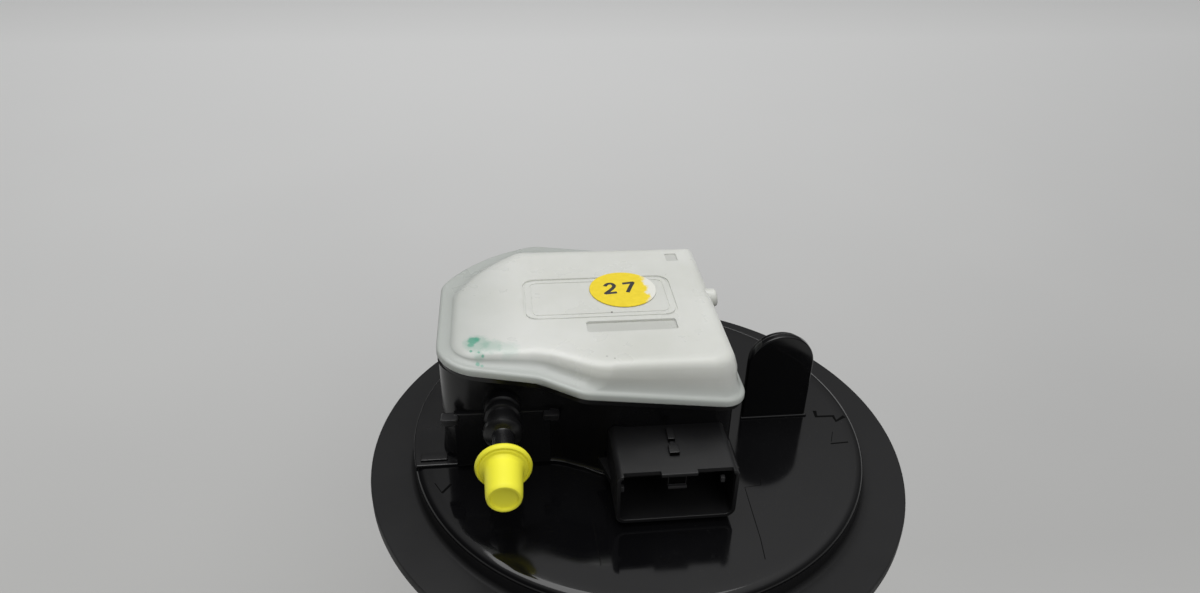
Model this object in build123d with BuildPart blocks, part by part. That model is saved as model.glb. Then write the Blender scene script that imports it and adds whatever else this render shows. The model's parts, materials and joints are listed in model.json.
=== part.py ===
"""In-tank fuel pump module: a round flange with a vapour separator on top, and a sprung
reservoir with the pump, pressure regulator, jet pump and level sender hanging below it.

Origin: centre of the flange rim's underside, where the rim sits on the tank neck.
+Z points out of the tank, -Y is the side of the feed nipple and the electrical socket.
All lengths are in millimetres.
"""
from build123d import *
import math
import os

os.makedirs("parts", exist_ok=True)

# ---------------------------------------------------------------- driving dimensions
# Flange
rim_radius = 85.0
rim_thickness = 4.0
disc_radius = 71.3
disc_top = 11.6
disc_underside = 7.6
disc_edge_fillet = 2.6
spigot_radius = 62.0
spigot_wall = 3.0
spigot_depth = 14.0
seal_groove_radius = 68.0
seal_groove_top = 6.0
gusset_count = 12
gusset_length = 15.0
gusset_thickness = 1.8

# Vapour separator: its base plate, walls, weld rim and the cover's lip and crown
base_seat = 10.0
base_top = 12.5
tank_floor_top = 15.0
tank_wall = 2.2
lip_height = 40.8           # height of the weld plane on the flange axis
lip_slope = 0.12            # fall of the weld plane for each mm towards +X
lip_thickness = 2.5
weld_rim_thickness = 2.2
cover_top = 52.0
cover_wall = 2.0
crown_foot = 30.0           # the crown is drawn from here up, and cut off at the weld plane
crown_draft_deg = 5.0
crown_fillet = 3.5
tall_enough = 60.0          # clears the whole separator, and any piece of the pump group

# Feed and vent nipples
feed_x = -43.0
feed_riser_y = 4.0
nipple_height = 32.4
tube_radius = 3.2
tube_bore_radius = 2.2
riser_radius = 5.0
bead_radius = 5.6
feed_tip_y = -47.0
feed_bead_y = -24.7
feed_wall_y = -14.0
stub_bottom = -16.0
vent_x = 45.3
vent_front_y = 1.0
vent_half_width = 10.6
vent_tube_x = 48.0
vent_tube_z = 24.6
vent_tube_radius = 4.9
vent_bore_radius = 3.2
vent_tip_y = 20.4
vent_passage_y = 6.4
vent_passage_radius = 2.6

# Electrical socket
socket_x = 4.2
socket_width = 34.0
socket_bottom = 13.2
socket_top = 30.5
socket_front_y = -43.6
socket_back_y = -22.9
socket_wall = 1.2
socket_corner = 3.0
socket_roof_corner = 1.2
socket_back_wall = 3.6
pin_count = 5
pin_pitch = 5.4
pin_width = 2.2
pin_thickness = 0.8
pin_height = 21.0
pin_tip_y = -31.0
pin_leg_y = -18.6
pin_bottom = -6.0

# Guide rods and springs
rod_radius = 4.0
rod_circle_radius = 43.0
rod_angle_deg = 25.0
rod_boss_radius = 8.0
rod_boss_bottom = -10.0
rod_bottom = -122.0
rod_top = 4.0
spring_wire_radius = 0.8
spring_mean_radius = 6.4
spring_turns = 7

# Reservoir and its lid
cup_radius = 54.0
cup_wall = 2.2
cup_flat_y = -46.0
cup_bottom = -195.0
cup_floor_lift = 2.5
cup_top = -85.0
lid_thickness = 3.0
lid_skirt_depth = 6.0
sleeve_radius = 7.6
sleeve_top = -78.0
sleeve_bottom = -115.0
slide_clearance = 0.08

# Pump
pump_x = 6.0
pump_y = 6.0
pump_radius = 19.0
pump_case_wall = 1.2
pump_case_top = -98.0
pump_case_bottom = -170.0
rotor_clearance = 0.6
shaft_radius = 2.0
running_clearance = 0.06

# Level sender
sender_x = -8.0
sender_z = -132.0
arm_wire_radius = 1.25
arm_length = 92.0
arm_rest_angle_deg = -28.0
float_radius = 9.0
float_length = 36.0

# ---------------------------------------------------------------- derived places
rod_spots = [
    (
        rod_circle_radius * math.cos(math.radians(rod_angle_deg + turn)),
        rod_circle_radius * math.sin(math.radians(rod_angle_deg + turn)),
    )
    for turn in (0, 180)
]
rear_left_radius = 2.4
lip_plane = Plane(origin=(0, 0, lip_height), x_dir=(1, 0, -lip_slope), z_dir=(lip_slope, 0, 1))


def plan_outline(front, rear_corner, rear_radius, inset=0.0):
    """Plan of the separator, seen from above, with every side moved inwards by the inset.

    front holds the front's four corners from left to right, each as X, Y and radius: it steps
    forward in an S between the middle two. rear_corner is the one behind them on the right,
    and the rest of the rear is an arc about the flange axis.
    """
    shifts = (inset, inset / 4, inset / 4, -inset)
    corners = [(x + shift, y + inset) for (x, y, _), shift in zip(front, shifts)]
    left, right = corners[0][0], corners[-1][0]
    back = rear_corner[1] - inset
    arc_radius = rear_radius - inset
    rear_left = (left, math.sqrt(arc_radius**2 - left**2))
    with BuildSketch() as plan:
        with BuildLine():
            Polyline(*corners, (right, back), (left, back), close=True)
        make_face()
        Circle(arc_radius, mode=Mode.INTERSECT)
        for (_, _, radius), spot in zip(front, corners):
            fillet(plan.vertices().sort_by_distance(spot)[0], radius - inset / 2)
        fillet(plan.vertices().sort_by_distance((right, back))[0], rear_corner[2])
        fillet(plan.vertices().sort_by_distance(rear_left)[0], rear_left_radius)
    return plan.sketch


def wall_plan(inset=0.0):
    """Outer face of the separator's wall, or a plan that lies inset inside it."""
    return plan_outline(
        front=[
            (-60.9, feed_wall_y, 9.0),
            (-27.0, feed_wall_y, 14.0),
            (-9.5, socket_back_y, 14.0),
            (25.2, socket_back_y, 7.0),
        ],
        rear_corner=(25.2, 57.5, 4.0),
        rear_radius=65.5,
        inset=inset,
    )


def lip_plan(inset=0.0):
    """Edge of the cover's lip."""
    return plan_outline(
        front=[(-61.3, -16.6, 12.0), (-32.5, -19.6, 6.0), (-20.5, -26.0, 8.0), (27.5, -26.4, 8.0)],
        rear_corner=(27.5, 60.0, 3.0),
        rear_radius=67.2,
        inset=inset,
    )


def crown_plan(inset=0.0):
    """Edge of the cover's raised crown, where the draft has not yet drawn it in."""
    return plan_outline(
        front=[(-56.9, -14.1, 8.0), (-31.5, -14.1, 14.0), (-15.0, -23.1, 14.0), (25.2, -23.1, 7.0)],
        rear_corner=(25.2, 48.2, 2.4),
        rear_radius=60.4,
        inset=inset,
    )


def base_plan():
    """Plate of the separator's moulding that lies on the flange disc."""
    front_left = feed_wall_y - 0.4
    front_right = socket_back_y - 0.4
    return plan_outline(
        front=[
            (-disc_radius + 0.5, front_left, 0.4),
            (-26.2, front_left, 1.0),
            (-13.0, front_right, 9.0),
            (28.0, front_right, 0.8),
        ],
        rear_corner=(28.0, disc_radius, 0.8),
        rear_radius=disc_radius,
    )


def write(piece, name):
    """Label a finished sub-part and write it as its own STEP file."""
    piece.label = name
    export_step(piece, f"parts/{name}.step")


# ================================================================ flange and what it carries
pin_spots = [
    (socket_x + (i - (pin_count - 1) / 2) * pin_pitch, pin_leg_y) for i in range(pin_count)
]
rollover_spot = (16.0, 12.0)
rollover_neck_radius = 6.0
plug_well_wall = 1.6
plug_well_width = pin_count * pin_pitch + 4.0
plug_well_depth = 9.0
plug_well_bottom = -6.0

with BuildPart() as flange_plate:
    with BuildSketch(Plane.XZ) as flange_half:
        with BuildLine():
            Polyline(
                (0, disc_underside),
                (0, disc_top),
                (disc_radius, disc_top),
                (disc_radius, rim_thickness),
                (rim_radius, rim_thickness),
                (rim_radius, 0),
                (seal_groove_radius, 0),
                (seal_groove_radius, seal_groove_top),
                (spigot_radius, seal_groove_top),
                (spigot_radius, -spigot_depth),
                (spigot_radius - spigot_wall, -spigot_depth),
                (spigot_radius - spigot_wall, disc_underside),
                close=True,
            )
        make_face()
        fillet(flange_half.vertices().sort_by_distance((disc_radius, disc_top))[0], disc_edge_fillet)
        fillet(flange_half.vertices().sort_by_distance((disc_radius, rim_thickness))[0], 0.8)
        fillet(flange_half.vertices().sort_by_distance((rim_radius, rim_thickness))[0], 0.8)
        chamfer(flange_half.vertices().sort_by_distance((spigot_radius, -spigot_depth))[0], 1.2)
    revolve(axis=Axis.Z)
    # short gussets between the spigot and the plate
    with BuildSketch(Plane.XY):
        with PolarLocations(spigot_radius - spigot_wall + 0.5 - gusset_length / 2, gusset_count):
            Rectangle(gusset_length, gusset_thickness)
    extrude(amount=disc_underside)
    # bosses that hold the guide rods
    with BuildSketch(Plane.XY.offset(rod_boss_bottom)):
        with Locations(*rod_spots):
            Circle(rod_boss_radius)
    extrude(amount=disc_underside - rod_boss_bottom)
    # well for the harness plug
    with BuildSketch(Plane.XY.offset(plug_well_bottom)):
        with Locations((socket_x, pin_leg_y)):
            RectangleRounded(plug_well_width, plug_well_depth, 1.5)
            RectangleRounded(
                plug_well_width - 2 * plug_well_wall,
                plug_well_depth - 2 * plug_well_wall,
                0.8,
                mode=Mode.SUBTRACT,
            )
    extrude(amount=disc_underside - plug_well_bottom)
    # seat of the separator's base plate
    with BuildSketch(Plane.XY.offset(base_seat)):
        add(base_plan())
    extrude(amount=disc_top, mode=Mode.SUBTRACT)
    # rod sockets, feed riser, vent passage, rollover neck and contact slots
    with BuildSketch(Plane.XY.offset(rod_boss_bottom)):
        with Locations(*rod_spots):
            Circle(rod_radius)
    extrude(amount=rod_top - rod_boss_bottom, mode=Mode.SUBTRACT)
    with BuildSketch(Plane.XY.offset(-spigot_depth)):
        with Locations((feed_x, feed_riser_y)):
            Circle(riser_radius)
        with Locations((vent_tube_x, vent_passage_y)):
            Circle(vent_passage_radius)
        with Locations(rollover_spot):
            Circle(rollover_neck_radius)
        with Locations(*pin_spots):
            Rectangle(pin_width, pin_thickness)
    extrude(amount=tall_enough, mode=Mode.SUBTRACT)
write(flange_plate.part, "flange_plate")

pad_top = 32.0
pad_left = -58.0
pad_right = -28.5
pad_depth = 1.2
baffle_top = 34.0
baffle_spots = [(-14.0, 30.0), (4.0, 38.0)]
baffle_size = (1.6, 36.0)
ear_width = 4.6
ear_reach = 0.5

with BuildPart() as separator_housing:
    with BuildSketch(Plane.XY.offset(base_seat)):
        add(base_plan())
    extrude(amount=base_top - base_seat)
    base_rim = separator_housing.edges().filter_by(GeomType.CIRCLE).group_by(Axis.Z)[-1]
    fillet(base_rim.sort_by(SortBy.LENGTH)[-1], 0.6)
    with BuildSketch(Plane.XY.offset(base_top)):
        add(wall_plan())
    extrude(amount=tall_enough)
    split(bisect_by=lip_plane, keep=Keep.BOTTOM)
    # weld rim under the cover's lip
    with BuildSketch(lip_plane):
        add(lip_plan(inset=0.7))
    extrude(amount=-weld_rim_thickness)
    # pad round the feed nipple, with an ear at each end of its upper edge
    with BuildSketch(Plane.XY.offset(base_top)):
        with Locations(((pad_left + pad_right) / 2, feed_wall_y)):
            Rectangle(pad_right - pad_left, 2 * pad_depth)
    extrude(amount=pad_top - base_top)
    with BuildSketch(Plane.XY.offset(pad_top - ear_width)):
        with Locations((pad_left - ear_reach, feed_wall_y), (pad_right - ear_reach, feed_wall_y)):
            RectangleRounded(ear_width, 2 * (pad_depth + 2.0), 1.2)
    extrude(amount=ear_width)
    # inside of the tank
    with BuildSketch(Plane.XY.offset(tank_floor_top)):
        add(wall_plan(inset=tank_wall))
    extrude(amount=tall_enough, mode=Mode.SUBTRACT)
    # baffles that slow the fuel down
    with BuildSketch(Plane.XY.offset(tank_floor_top)):
        with Locations(*baffle_spots):
            Rectangle(*baffle_size)
    extrude(amount=baffle_top - tank_floor_top)
    # feed riser, rollover neck and contact slots through the floor
    with BuildSketch(Plane.XY.offset(base_seat)):
        with Locations((feed_x, feed_riser_y)):
            Circle(riser_radius)
        with Locations(rollover_spot):
            Circle(rollover_neck_radius)
        with Locations(*pin_spots):
            Rectangle(pin_width, pin_thickness)
    extrude(amount=tank_floor_top - base_seat, mode=Mode.SUBTRACT)
    # feed nipple through the front wall
    with BuildSketch(Plane.XZ.offset(-feed_wall_y - tank_wall - 1.0)):
        with Locations((feed_x, nipple_height)):
            Circle(riser_radius)
    extrude(amount=2 * tank_wall + 4.0, mode=Mode.SUBTRACT)
    # contacts through the front wall
    with BuildSketch(Plane.XZ.offset(-socket_back_y - tank_wall - 1.0)):
        with Locations(*[(x, pin_height) for x, _ in pin_spots]):
            Rectangle(pin_width, pin_thickness)
    extrude(amount=2 * tank_wall, mode=Mode.SUBTRACT)
write(separator_housing.part, "separator_housing")

panel_recess = 0.5
slot_recess = 0.4
panel_size = (46.4, 22.6)
panel_spot = (-12.2, 14.9)
label_slot_size = (26.6, 4.6)
label_slot_spot = (-3.6, -2.1)
nub_radius = 2.6
nub_spot = (15.5, 47.4)

with BuildPart() as separator_cover:
    with BuildSketch(Plane.XY.offset(crown_foot)):
        add(crown_plan())
    extrude(amount=cover_top - crown_foot, taper=crown_draft_deg)
    fillet(separator_cover.faces().sort_by(Axis.Z)[-1].edges(), crown_fillet)
    # hollow of the crown
    with BuildSketch(Plane.XY.offset(crown_foot)):
        add(crown_plan(inset=cover_wall))
    extrude(amount=cover_top - cover_wall - crown_foot, taper=crown_draft_deg, mode=Mode.SUBTRACT)
    # flat lip on the weld plane
    with BuildSketch(lip_plane):
        add(lip_plan())
        add(crown_plan(inset=cover_wall), mode=Mode.SUBTRACT)
    extrude(amount=lip_thickness)
    split(bisect_by=lip_plane, keep=Keep.TOP)
    # shallow panel and label slot, both left bare
    with BuildSketch(Plane.XY.offset(cover_top)):
        with Locations(panel_spot):
            RectangleRounded(*panel_size, 3.5)
    extrude(amount=-panel_recess, mode=Mode.SUBTRACT)
    with BuildSketch(Plane.XY.offset(cover_top)):
        with Locations(label_slot_spot):
            RectangleRounded(*label_slot_size, 2.2)
    extrude(amount=-slot_recess, mode=Mode.SUBTRACT)
    # moulded nub on the right wall
    with BuildSketch(Plane.YZ.offset(22.5)):
        with Locations(nub_spot):
            Circle(nub_radius)
    extrude(amount=3.0)
write(separator_cover.part, "separator_cover")

# Yellow inspection dot stuck on the cover
dot_spot = (-3.9, 18.6)
dot_radius = 10.6
dot_thickness = 0.2

with BuildPart() as inspection_dot:
    with BuildSketch(Plane.XY.offset(cover_top)):
        with Locations(dot_spot):
            Circle(dot_radius)
    extrude(amount=dot_thickness)
write(inspection_dot.part, "inspection_dot")

# Electrical socket: a rounded box open to -Y, with a latch and a polarising key on its roof
socket_middle_z = (socket_bottom + socket_top) / 2
socket_height = socket_top - socket_bottom
latch_width = 3.4
key_width = 6.0
key_height = 2.4
tab_width = 11.5
tab_length = 1.8
hood_reach = socket_back_y - socket_front_y


def hood_profile(inset):
    """Front view of the hood: nearly square upper corners, rounder lower ones."""
    with BuildSketch() as profile:
        Rectangle(socket_width - 2 * inset, socket_height - 2 * inset)
        fillet(profile.vertices().group_by(Axis.Y)[-1], socket_roof_corner - inset / 2)
        fillet(profile.vertices().group_by(Axis.Y)[0], socket_corner - inset / 2)
    return profile.sketch


with BuildPart() as connector_shroud:
    with BuildSketch(Plane.XZ.offset(-socket_back_y)):
        with Locations((socket_x, socket_middle_z)):
            add(hood_profile(0.0))
    extrude(amount=hood_reach)
    with BuildSketch(Plane.XZ.offset(-socket_back_y + socket_back_wall)):
        with Locations((socket_x, socket_middle_z)):
            add(hood_profile(socket_wall))
    extrude(amount=hood_reach, mode=Mode.SUBTRACT)
    # tab on the front edge of the roof
    with BuildSketch(Plane.XY.offset(socket_top - socket_wall)):
        with Locations((socket_x + 0.6, socket_front_y - tab_length / 2)):
            Rectangle(tab_width, tab_length)
    extrude(amount=socket_wall)
    # polarising key under the roof
    with BuildSketch(Plane.XZ.offset(-socket_back_y)):
        with Locations((socket_x, socket_top - socket_wall - key_height / 2)):
            Rectangle(key_width, key_height)
    extrude(amount=hood_reach - 2.0)
    # latch: a square stop at the back and a ramp in front of it
    with BuildSketch(Plane.XY.offset(socket_top)):
        with Locations((socket_x + 0.6, -28.8)):
            Rectangle(latch_width, 3.0)
    extrude(amount=2.4)
    with BuildSketch(Plane.YZ.offset(socket_x + 0.6 - latch_width / 2)):
        with BuildLine():
            Polyline(
                (-31.2, socket_top),
                (-31.2, socket_top + 2.8),
                (-34.4, socket_top + 2.8),
                (-38.6, socket_top),
                close=True,
            )
        make_face()
    extrude(amount=latch_width)
    # gussets that tie the sides of the hood to the tank wall
    for side in (-1, 1):
        with BuildSketch(Plane.XY.offset(socket_bottom + 4.0)):
            with BuildLine():
                Polyline(
                    (socket_x + side * socket_width / 2, socket_back_y),
                    (socket_x + side * (socket_width / 2 + 2.6), socket_back_y),
                    (socket_x + side * socket_width / 2, socket_back_y - 9.0),
                    close=True,
                )
            make_face()
        extrude(amount=1.8)
    # contact slots in the back wall
    with BuildSketch(Plane.XZ.offset(-socket_back_y)):
        with Locations(*[(x, pin_height) for x, _ in pin_spots]):
            Rectangle(pin_width, pin_thickness)
    extrude(amount=socket_back_wall, mode=Mode.SUBTRACT)
write(connector_shroud.part, "connector_shroud")

# Contacts: flat pins, bent down inside the tank to the plug well under the plate
with BuildPart() as connector_pins:
    with BuildSketch(Plane.XZ.offset(-pin_leg_y - pin_thickness / 2)):
        with Locations(*[(x, pin_height) for x, _ in pin_spots]):
            Rectangle(pin_width, pin_thickness)
    extrude(amount=pin_leg_y + pin_thickness / 2 - pin_tip_y)
    with BuildSketch(Plane.XY.offset(pin_bottom)):
        with Locations(*pin_spots):
            Rectangle(pin_width, pin_thickness)
    extrude(amount=pin_height + pin_thickness / 2 - pin_bottom)
write(connector_pins.part, "connector_pins")

# Feed nipple: an elbow with a quick-connect end in front and a barbed hose stub below
barb_radius = 3.1
stub_radius = 2.6
stub_bore_radius = 1.7
barb_pitch = 3.6
stub_shoulder = -5.0

with BuildPart() as feed_nipple:
    # spout, drawn as half a section with the distance from the riser along X
    with BuildSketch(Plane((feed_x, feed_riser_y, nipple_height), x_dir=(0, -1, 0), z_dir=(1, 0, 0))):
        reach = feed_riser_y - feed_tip_y
        bead_at = feed_riser_y - feed_bead_y
        wall_at = feed_riser_y - feed_wall_y + pad_depth
        with BuildLine():
            Polyline(
                (0, 0),
                (0, riser_radius),
                (wall_at, riser_radius),
                (wall_at, riser_radius + 0.5),
                (wall_at + 2.0, riser_radius + 0.5),
                (wall_at + 2.0, riser_radius - 0.3),
                (wall_at + 3.0, riser_radius - 0.3),
                (wall_at + 3.0, riser_radius + 0.4),
                (wall_at + 4.4, riser_radius + 0.4),
                (wall_at + 4.8, riser_radius - 0.1),
                (bead_at - 1.5, riser_radius - 0.1),
                (bead_at - 1.2, bead_radius),
                (bead_at + 1.2, bead_radius),
                (bead_at + 1.9, tube_radius),
                (reach - 1.0, tube_radius),
                (reach, tube_radius - 0.8),
                (reach, 0),
                close=True,
            )
        make_face()
    revolve(axis=Axis((feed_x, feed_riser_y, nipple_height), (0, -1, 0)))
    # riser and hose stub
    with BuildSketch(Plane.XY.offset(stub_shoulder)):
        with Locations((feed_x, feed_riser_y)):
            Circle(riser_radius)
    extrude(amount=nipple_height - stub_shoulder)
    with Locations((feed_x, feed_riser_y, nipple_height)):
        Sphere(riser_radius)
    with BuildSketch(Plane((feed_x, feed_riser_y, stub_bottom), x_dir=(1, 0, 0), z_dir=(0, -1, 0))):
        with BuildLine():
            Polyline(
                (0, 0),
                (stub_radius, 0),
                (barb_radius, barb_pitch * 0.7),
                (stub_radius, barb_pitch),
                (barb_radius, barb_pitch * 1.7),
                (stub_radius, barb_pitch * 2),
                (stub_radius, stub_shoulder - stub_bottom),
                (0, stub_shoulder - stub_bottom),
                close=True,
            )
        make_face()
    revolve(axis=Axis((feed_x, feed_riser_y, 0), (0, 0, 1)))
    # the bore: down from the elbow, and out to the tip
    with BuildSketch(Plane.XY.offset(stub_bottom)):
        with Locations((feed_x, feed_riser_y)):
            Circle(stub_bore_radius)
    extrude(amount=nipple_height - stub_bottom, mode=Mode.SUBTRACT)
    with BuildSketch(Plane.XY.offset(stub_shoulder + 2.0)):
        with Locations((feed_x, feed_riser_y)):
            Circle(tube_bore_radius)
    extrude(amount=nipple_height - stub_shoulder - 2.0, mode=Mode.SUBTRACT)
    with BuildSketch(Plane.XZ.offset(-feed_riser_y)):
        with Locations((feed_x, nipple_height)):
            Circle(tube_bore_radius)
    extrude(amount=feed_riser_y - feed_tip_y, mode=Mode.SUBTRACT)
write(feed_nipple.part, "feed_nipple")

# Transport cap that keeps dirt out of the feed nipple
cap_flange_radius = 7.8
cap_body_radius = 5.15
cap_end_radius = 4.75
cap_open_y = -37.4
cap_flange_y = -39.8
cap_end_y = -51.2
cap_bore_radius = tube_radius + slide_clearance
cap_dimple_radius = 3.5

with BuildPart() as transport_cap:
    with BuildSketch(Plane((feed_x, 0, nipple_height), x_dir=(0, -1, 0), z_dir=(1, 0, 0))):
        with BuildLine():
            Polyline(
                (-cap_open_y, cap_bore_radius),
                (-cap_open_y, cap_flange_radius - 1.2),
                (-cap_open_y + 0.5, cap_flange_radius),
                (-cap_flange_y - 0.6, cap_flange_radius),
                (-cap_flange_y, cap_flange_radius - 0.6),
                (-cap_flange_y, cap_flange_radius - 1.5),
                (-cap_flange_y + 0.8, cap_flange_radius - 1.5),
                (-cap_flange_y + 0.8, cap_body_radius),
                (-cap_end_y - 1.0, cap_end_radius),
                (-cap_end_y, cap_end_radius - 1.0),
                (-cap_end_y, cap_dimple_radius),
                (-cap_end_y - 0.8, cap_dimple_radius - 0.2),
                (-cap_end_y - 0.8, 0),
                (-feed_tip_y + 0.4, 0),
                (-feed_tip_y + 0.4, cap_bore_radius),
                close=True,
            )
        make_face()
    revolve(axis=Axis((feed_x, 0, nipple_height), (0, -1, 0)))
write(transport_cap.part, "transport_cap")

# Vent elbow: a riser behind a round-headed front plate, with a nipple that points to the rear
vent_plate_thickness = 2.4
vent_groove = 0.7
vent_ring_thickness = 1.6
vent_ring_inset = 0.9
vent_body_half_width = 8.2
vent_body_head_z = 25.4
vent_body_back_y = 10.2
vent_bead_radius = 6.0
vent_bead_width = 1.8
vent_bead_setback = 8.0


def vent_profile(half_width, head_z):
    """Front view of the vent riser: straight sides under a half-round head."""
    with BuildSketch() as profile:
        with Locations((vent_x, head_z)):
            Circle(half_width)
        with Locations((vent_x, (head_z + disc_top) / 2)):
            Rectangle(2 * half_width, head_z - disc_top)
    return profile.sketch


with BuildPart() as vent_elbow:
    plate_back_y = vent_front_y + vent_plate_thickness
    ring_back_y = plate_back_y + vent_groove + vent_ring_thickness
    with BuildSketch(Plane.XZ.offset(-plate_back_y)):
        add(vent_profile(vent_half_width, nipple_height))
    extrude(amount=vent_plate_thickness)
    fillet(vent_elbow.faces().sort_by(Axis.Y)[0].edges().filter_by(GeomType.CIRCLE), 0.6)
    with BuildSketch(Plane.XZ.offset(-plate_back_y - vent_groove)):
        add(vent_profile(vent_half_width - 2 * vent_ring_inset, nipple_height))
    extrude(amount=vent_groove)
    with BuildSketch(Plane.XZ.offset(-ring_back_y)):
        add(vent_profile(vent_half_width - vent_ring_inset, nipple_height))
    extrude(amount=vent_ring_thickness)
    with BuildSketch(Plane.XZ.offset(-vent_body_back_y)):
        add(vent_profile(vent_body_half_width, vent_body_head_z))
    extrude(amount=vent_body_back_y - ring_back_y)
    # nipple
    with BuildSketch(Plane((vent_tube_x, 0, vent_tube_z), x_dir=(0, 1, 0), z_dir=(-1, 0, 0))):
        with BuildLine():
            bead_y = vent_tip_y - vent_bead_setback
            Polyline(
                (vent_body_back_y, 0),
                (vent_body_back_y, vent_tube_radius),
                (bead_y, vent_tube_radius),
                (bead_y + 0.4, vent_bead_radius),
                (bead_y + 0.4 + vent_bead_width, vent_bead_radius),
                (bead_y + 0.8 + vent_bead_width, vent_tube_radius),
                (vent_tip_y - 0.6, vent_tube_radius),
                (vent_tip_y, vent_tube_radius - 0.6),
                (vent_tip_y, 0),
                close=True,
            )
        make_face()
    revolve(axis=Axis((vent_tube_x, 0, vent_tube_z), (0, 1, 0)))
    # passage: up through the riser and out of the nipple
    with BuildSketch(Plane.XY.offset(disc_top)):
        with Locations((vent_tube_x, vent_passage_y)):
            Circle(vent_passage_radius)
    extrude(amount=vent_tube_z - disc_top, mode=Mode.SUBTRACT)
    with BuildSketch(Plane.XZ.offset(-vent_tip_y)):
        with Locations((vent_tube_x, vent_tube_z)):
            Circle(vent_bore_radius)
    extrude(amount=vent_tip_y - vent_passage_y, mode=Mode.SUBTRACT)
write(vent_elbow.part, "vent_elbow")

# Seal between the rim and the tank neck, as it lies when the lock ring is tight
seal_clearance = 0.3

with BuildPart() as flange_seal:
    with BuildSketch(Plane.XZ) as seal_half:
        with BuildLine():
            Polyline(
                (spigot_radius + seal_clearance, 0.2),
                (seal_groove_radius - seal_clearance, 0.2),
                (seal_groove_radius - seal_clearance, seal_groove_top),
                (spigot_radius + seal_clearance, seal_groove_top),
                close=True,
            )
        make_face()
        fillet(seal_half.vertices().group_by(Axis.Z)[0], 1.2)
    revolve(axis=Axis.Z)
write(flange_seal.part, "flange_seal")

# Guide rods, the clips that stop the reservoir sliding off them, and the springs round them
clip_thickness = 1.2
clip_radius = 6.6
clip_top = sleeve_bottom - 0.3
spring_top = rod_boss_bottom
spring_bottom = sleeve_top

for side, spot in zip(("right", "left"), rod_spots):
    with BuildPart() as guide_rod:
        with BuildSketch(Plane.XY.offset(rod_bottom)):
            with Locations(spot):
                Circle(rod_radius)
        extrude(amount=rod_top - rod_bottom)
        chamfer(guide_rod.faces().sort_by(Axis.Z)[0].edges(), 0.8)
        with BuildSketch(Plane.XY.offset(clip_top - clip_thickness)):
            with Locations(spot):
                Circle(rod_radius)
                Circle(rod_radius - 0.7, mode=Mode.SUBTRACT)
        extrude(amount=clip_thickness, mode=Mode.SUBTRACT)
    write(guide_rod.part, f"guide_rod_{side}")

    coil_lift = spring_wire_radius
    with BuildPart() as guide_spring:
        with BuildLine():
            Helix(
                pitch=(spring_top - spring_bottom - 2 * coil_lift) / spring_turns,
                height=spring_top - spring_bottom - 2 * coil_lift,
                radius=spring_mean_radius,
                center=(spot[0], spot[1], spring_bottom + coil_lift),
            )
        with BuildSketch(
            Plane(
                origin=(spot[0] + spring_mean_radius, spot[1], spring_bottom + coil_lift),
                x_dir=(1, 0, 0),
                z_dir=(0, 1, 0),
            )
        ):
            Circle(spring_wire_radius)
        sweep(is_frenet=True)
    write(guide_spring.part, f"guide_spring_{side}")

with BuildPart() as rod_clips:
    with BuildSketch(Plane.XY.offset(clip_top - clip_thickness)):
        for spot in rod_spots:
            with Locations(spot):
                Circle(clip_radius)
                Circle(rod_radius - 0.7, mode=Mode.SUBTRACT)
            with Locations((spot[0] + clip_radius, spot[1])):
                Rectangle(2 * clip_radius, 2 * (rod_radius - 1.2), mode=Mode.SUBTRACT)
    extrude(amount=clip_thickness)
write(rod_clips.part, "rod_clips")

# Rollover valve under the plate: body, screw-in base, float and assist spring
valve_x, valve_y = rollover_spot
valve_radius = 13.0
valve_bottom = -30.0
valve_shoulder = disc_underside
valve_wall = 1.6
valve_float_radius = 9.6
valve_float_bottom = -22.0
valve_float_top = -4.0
valve_travel = 4.0
valve_spring_radius = 4.6
valve_base_thickness = 3.0
valve_chamber_top = valve_float_top + valve_travel + 3.0
valve_neck_rise = 3.0
valve_port_radius = 2.4
valve_window_width = 8.0
valve_window_height = 9.0
valve_pocket_depth = 8.0
valve_nose_radius = 3.2
base_hole_circle = 8.5
base_hole_radius = 1.6

with BuildPart() as rollover_body:
    with BuildSketch(Plane.XY.offset(valve_bottom + valve_base_thickness)):
        with Locations(rollover_spot):
            Circle(valve_radius)
    extrude(amount=valve_shoulder - valve_bottom - valve_base_thickness)
    with BuildSketch(Plane.XY.offset(valve_shoulder)):
        with Locations(rollover_spot):
            Circle(rollover_neck_radius)
    extrude(amount=tank_floor_top + valve_neck_rise - valve_shoulder)
    with BuildSketch(Plane.XY.offset(valve_bottom + valve_base_thickness)):
        with Locations(rollover_spot):
            Circle(valve_radius - valve_wall)
    extrude(amount=valve_chamber_top - valve_bottom - valve_base_thickness, mode=Mode.SUBTRACT)
    with BuildSketch(Plane.XY):
        with Locations(rollover_spot):
            Circle(valve_port_radius)
    extrude(amount=tank_floor_top + valve_neck_rise, mode=Mode.SUBTRACT)
    # windows that let fuel in to lift the float
    with BuildSketch(Plane.XY.offset(valve_float_bottom + 4.0)):
        with Locations(rollover_spot):
            with PolarLocations(valve_radius, 4, start_angle=45):
                Rectangle(valve_window_width, 2.5 * valve_wall)
    extrude(amount=valve_window_height, mode=Mode.SUBTRACT)
write(rollover_body.part, "rollover_body")

with BuildPart() as rollover_base:
    with BuildSketch(Plane.XY.offset(valve_bottom)):
        with Locations(rollover_spot):
            Circle(valve_radius)
            with PolarLocations(base_hole_circle, 6):
                Circle(base_hole_radius, mode=Mode.SUBTRACT)
    extrude(amount=valve_base_thickness)
    with BuildSketch(Plane.XY.offset(valve_bottom + valve_base_thickness)):
        with Locations(rollover_spot):
            Circle(valve_radius - valve_wall)
            Circle(valve_radius - 2 * valve_wall, mode=Mode.SUBTRACT)
    extrude(amount=2.0)
write(rollover_base.part, "rollover_base")

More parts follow.
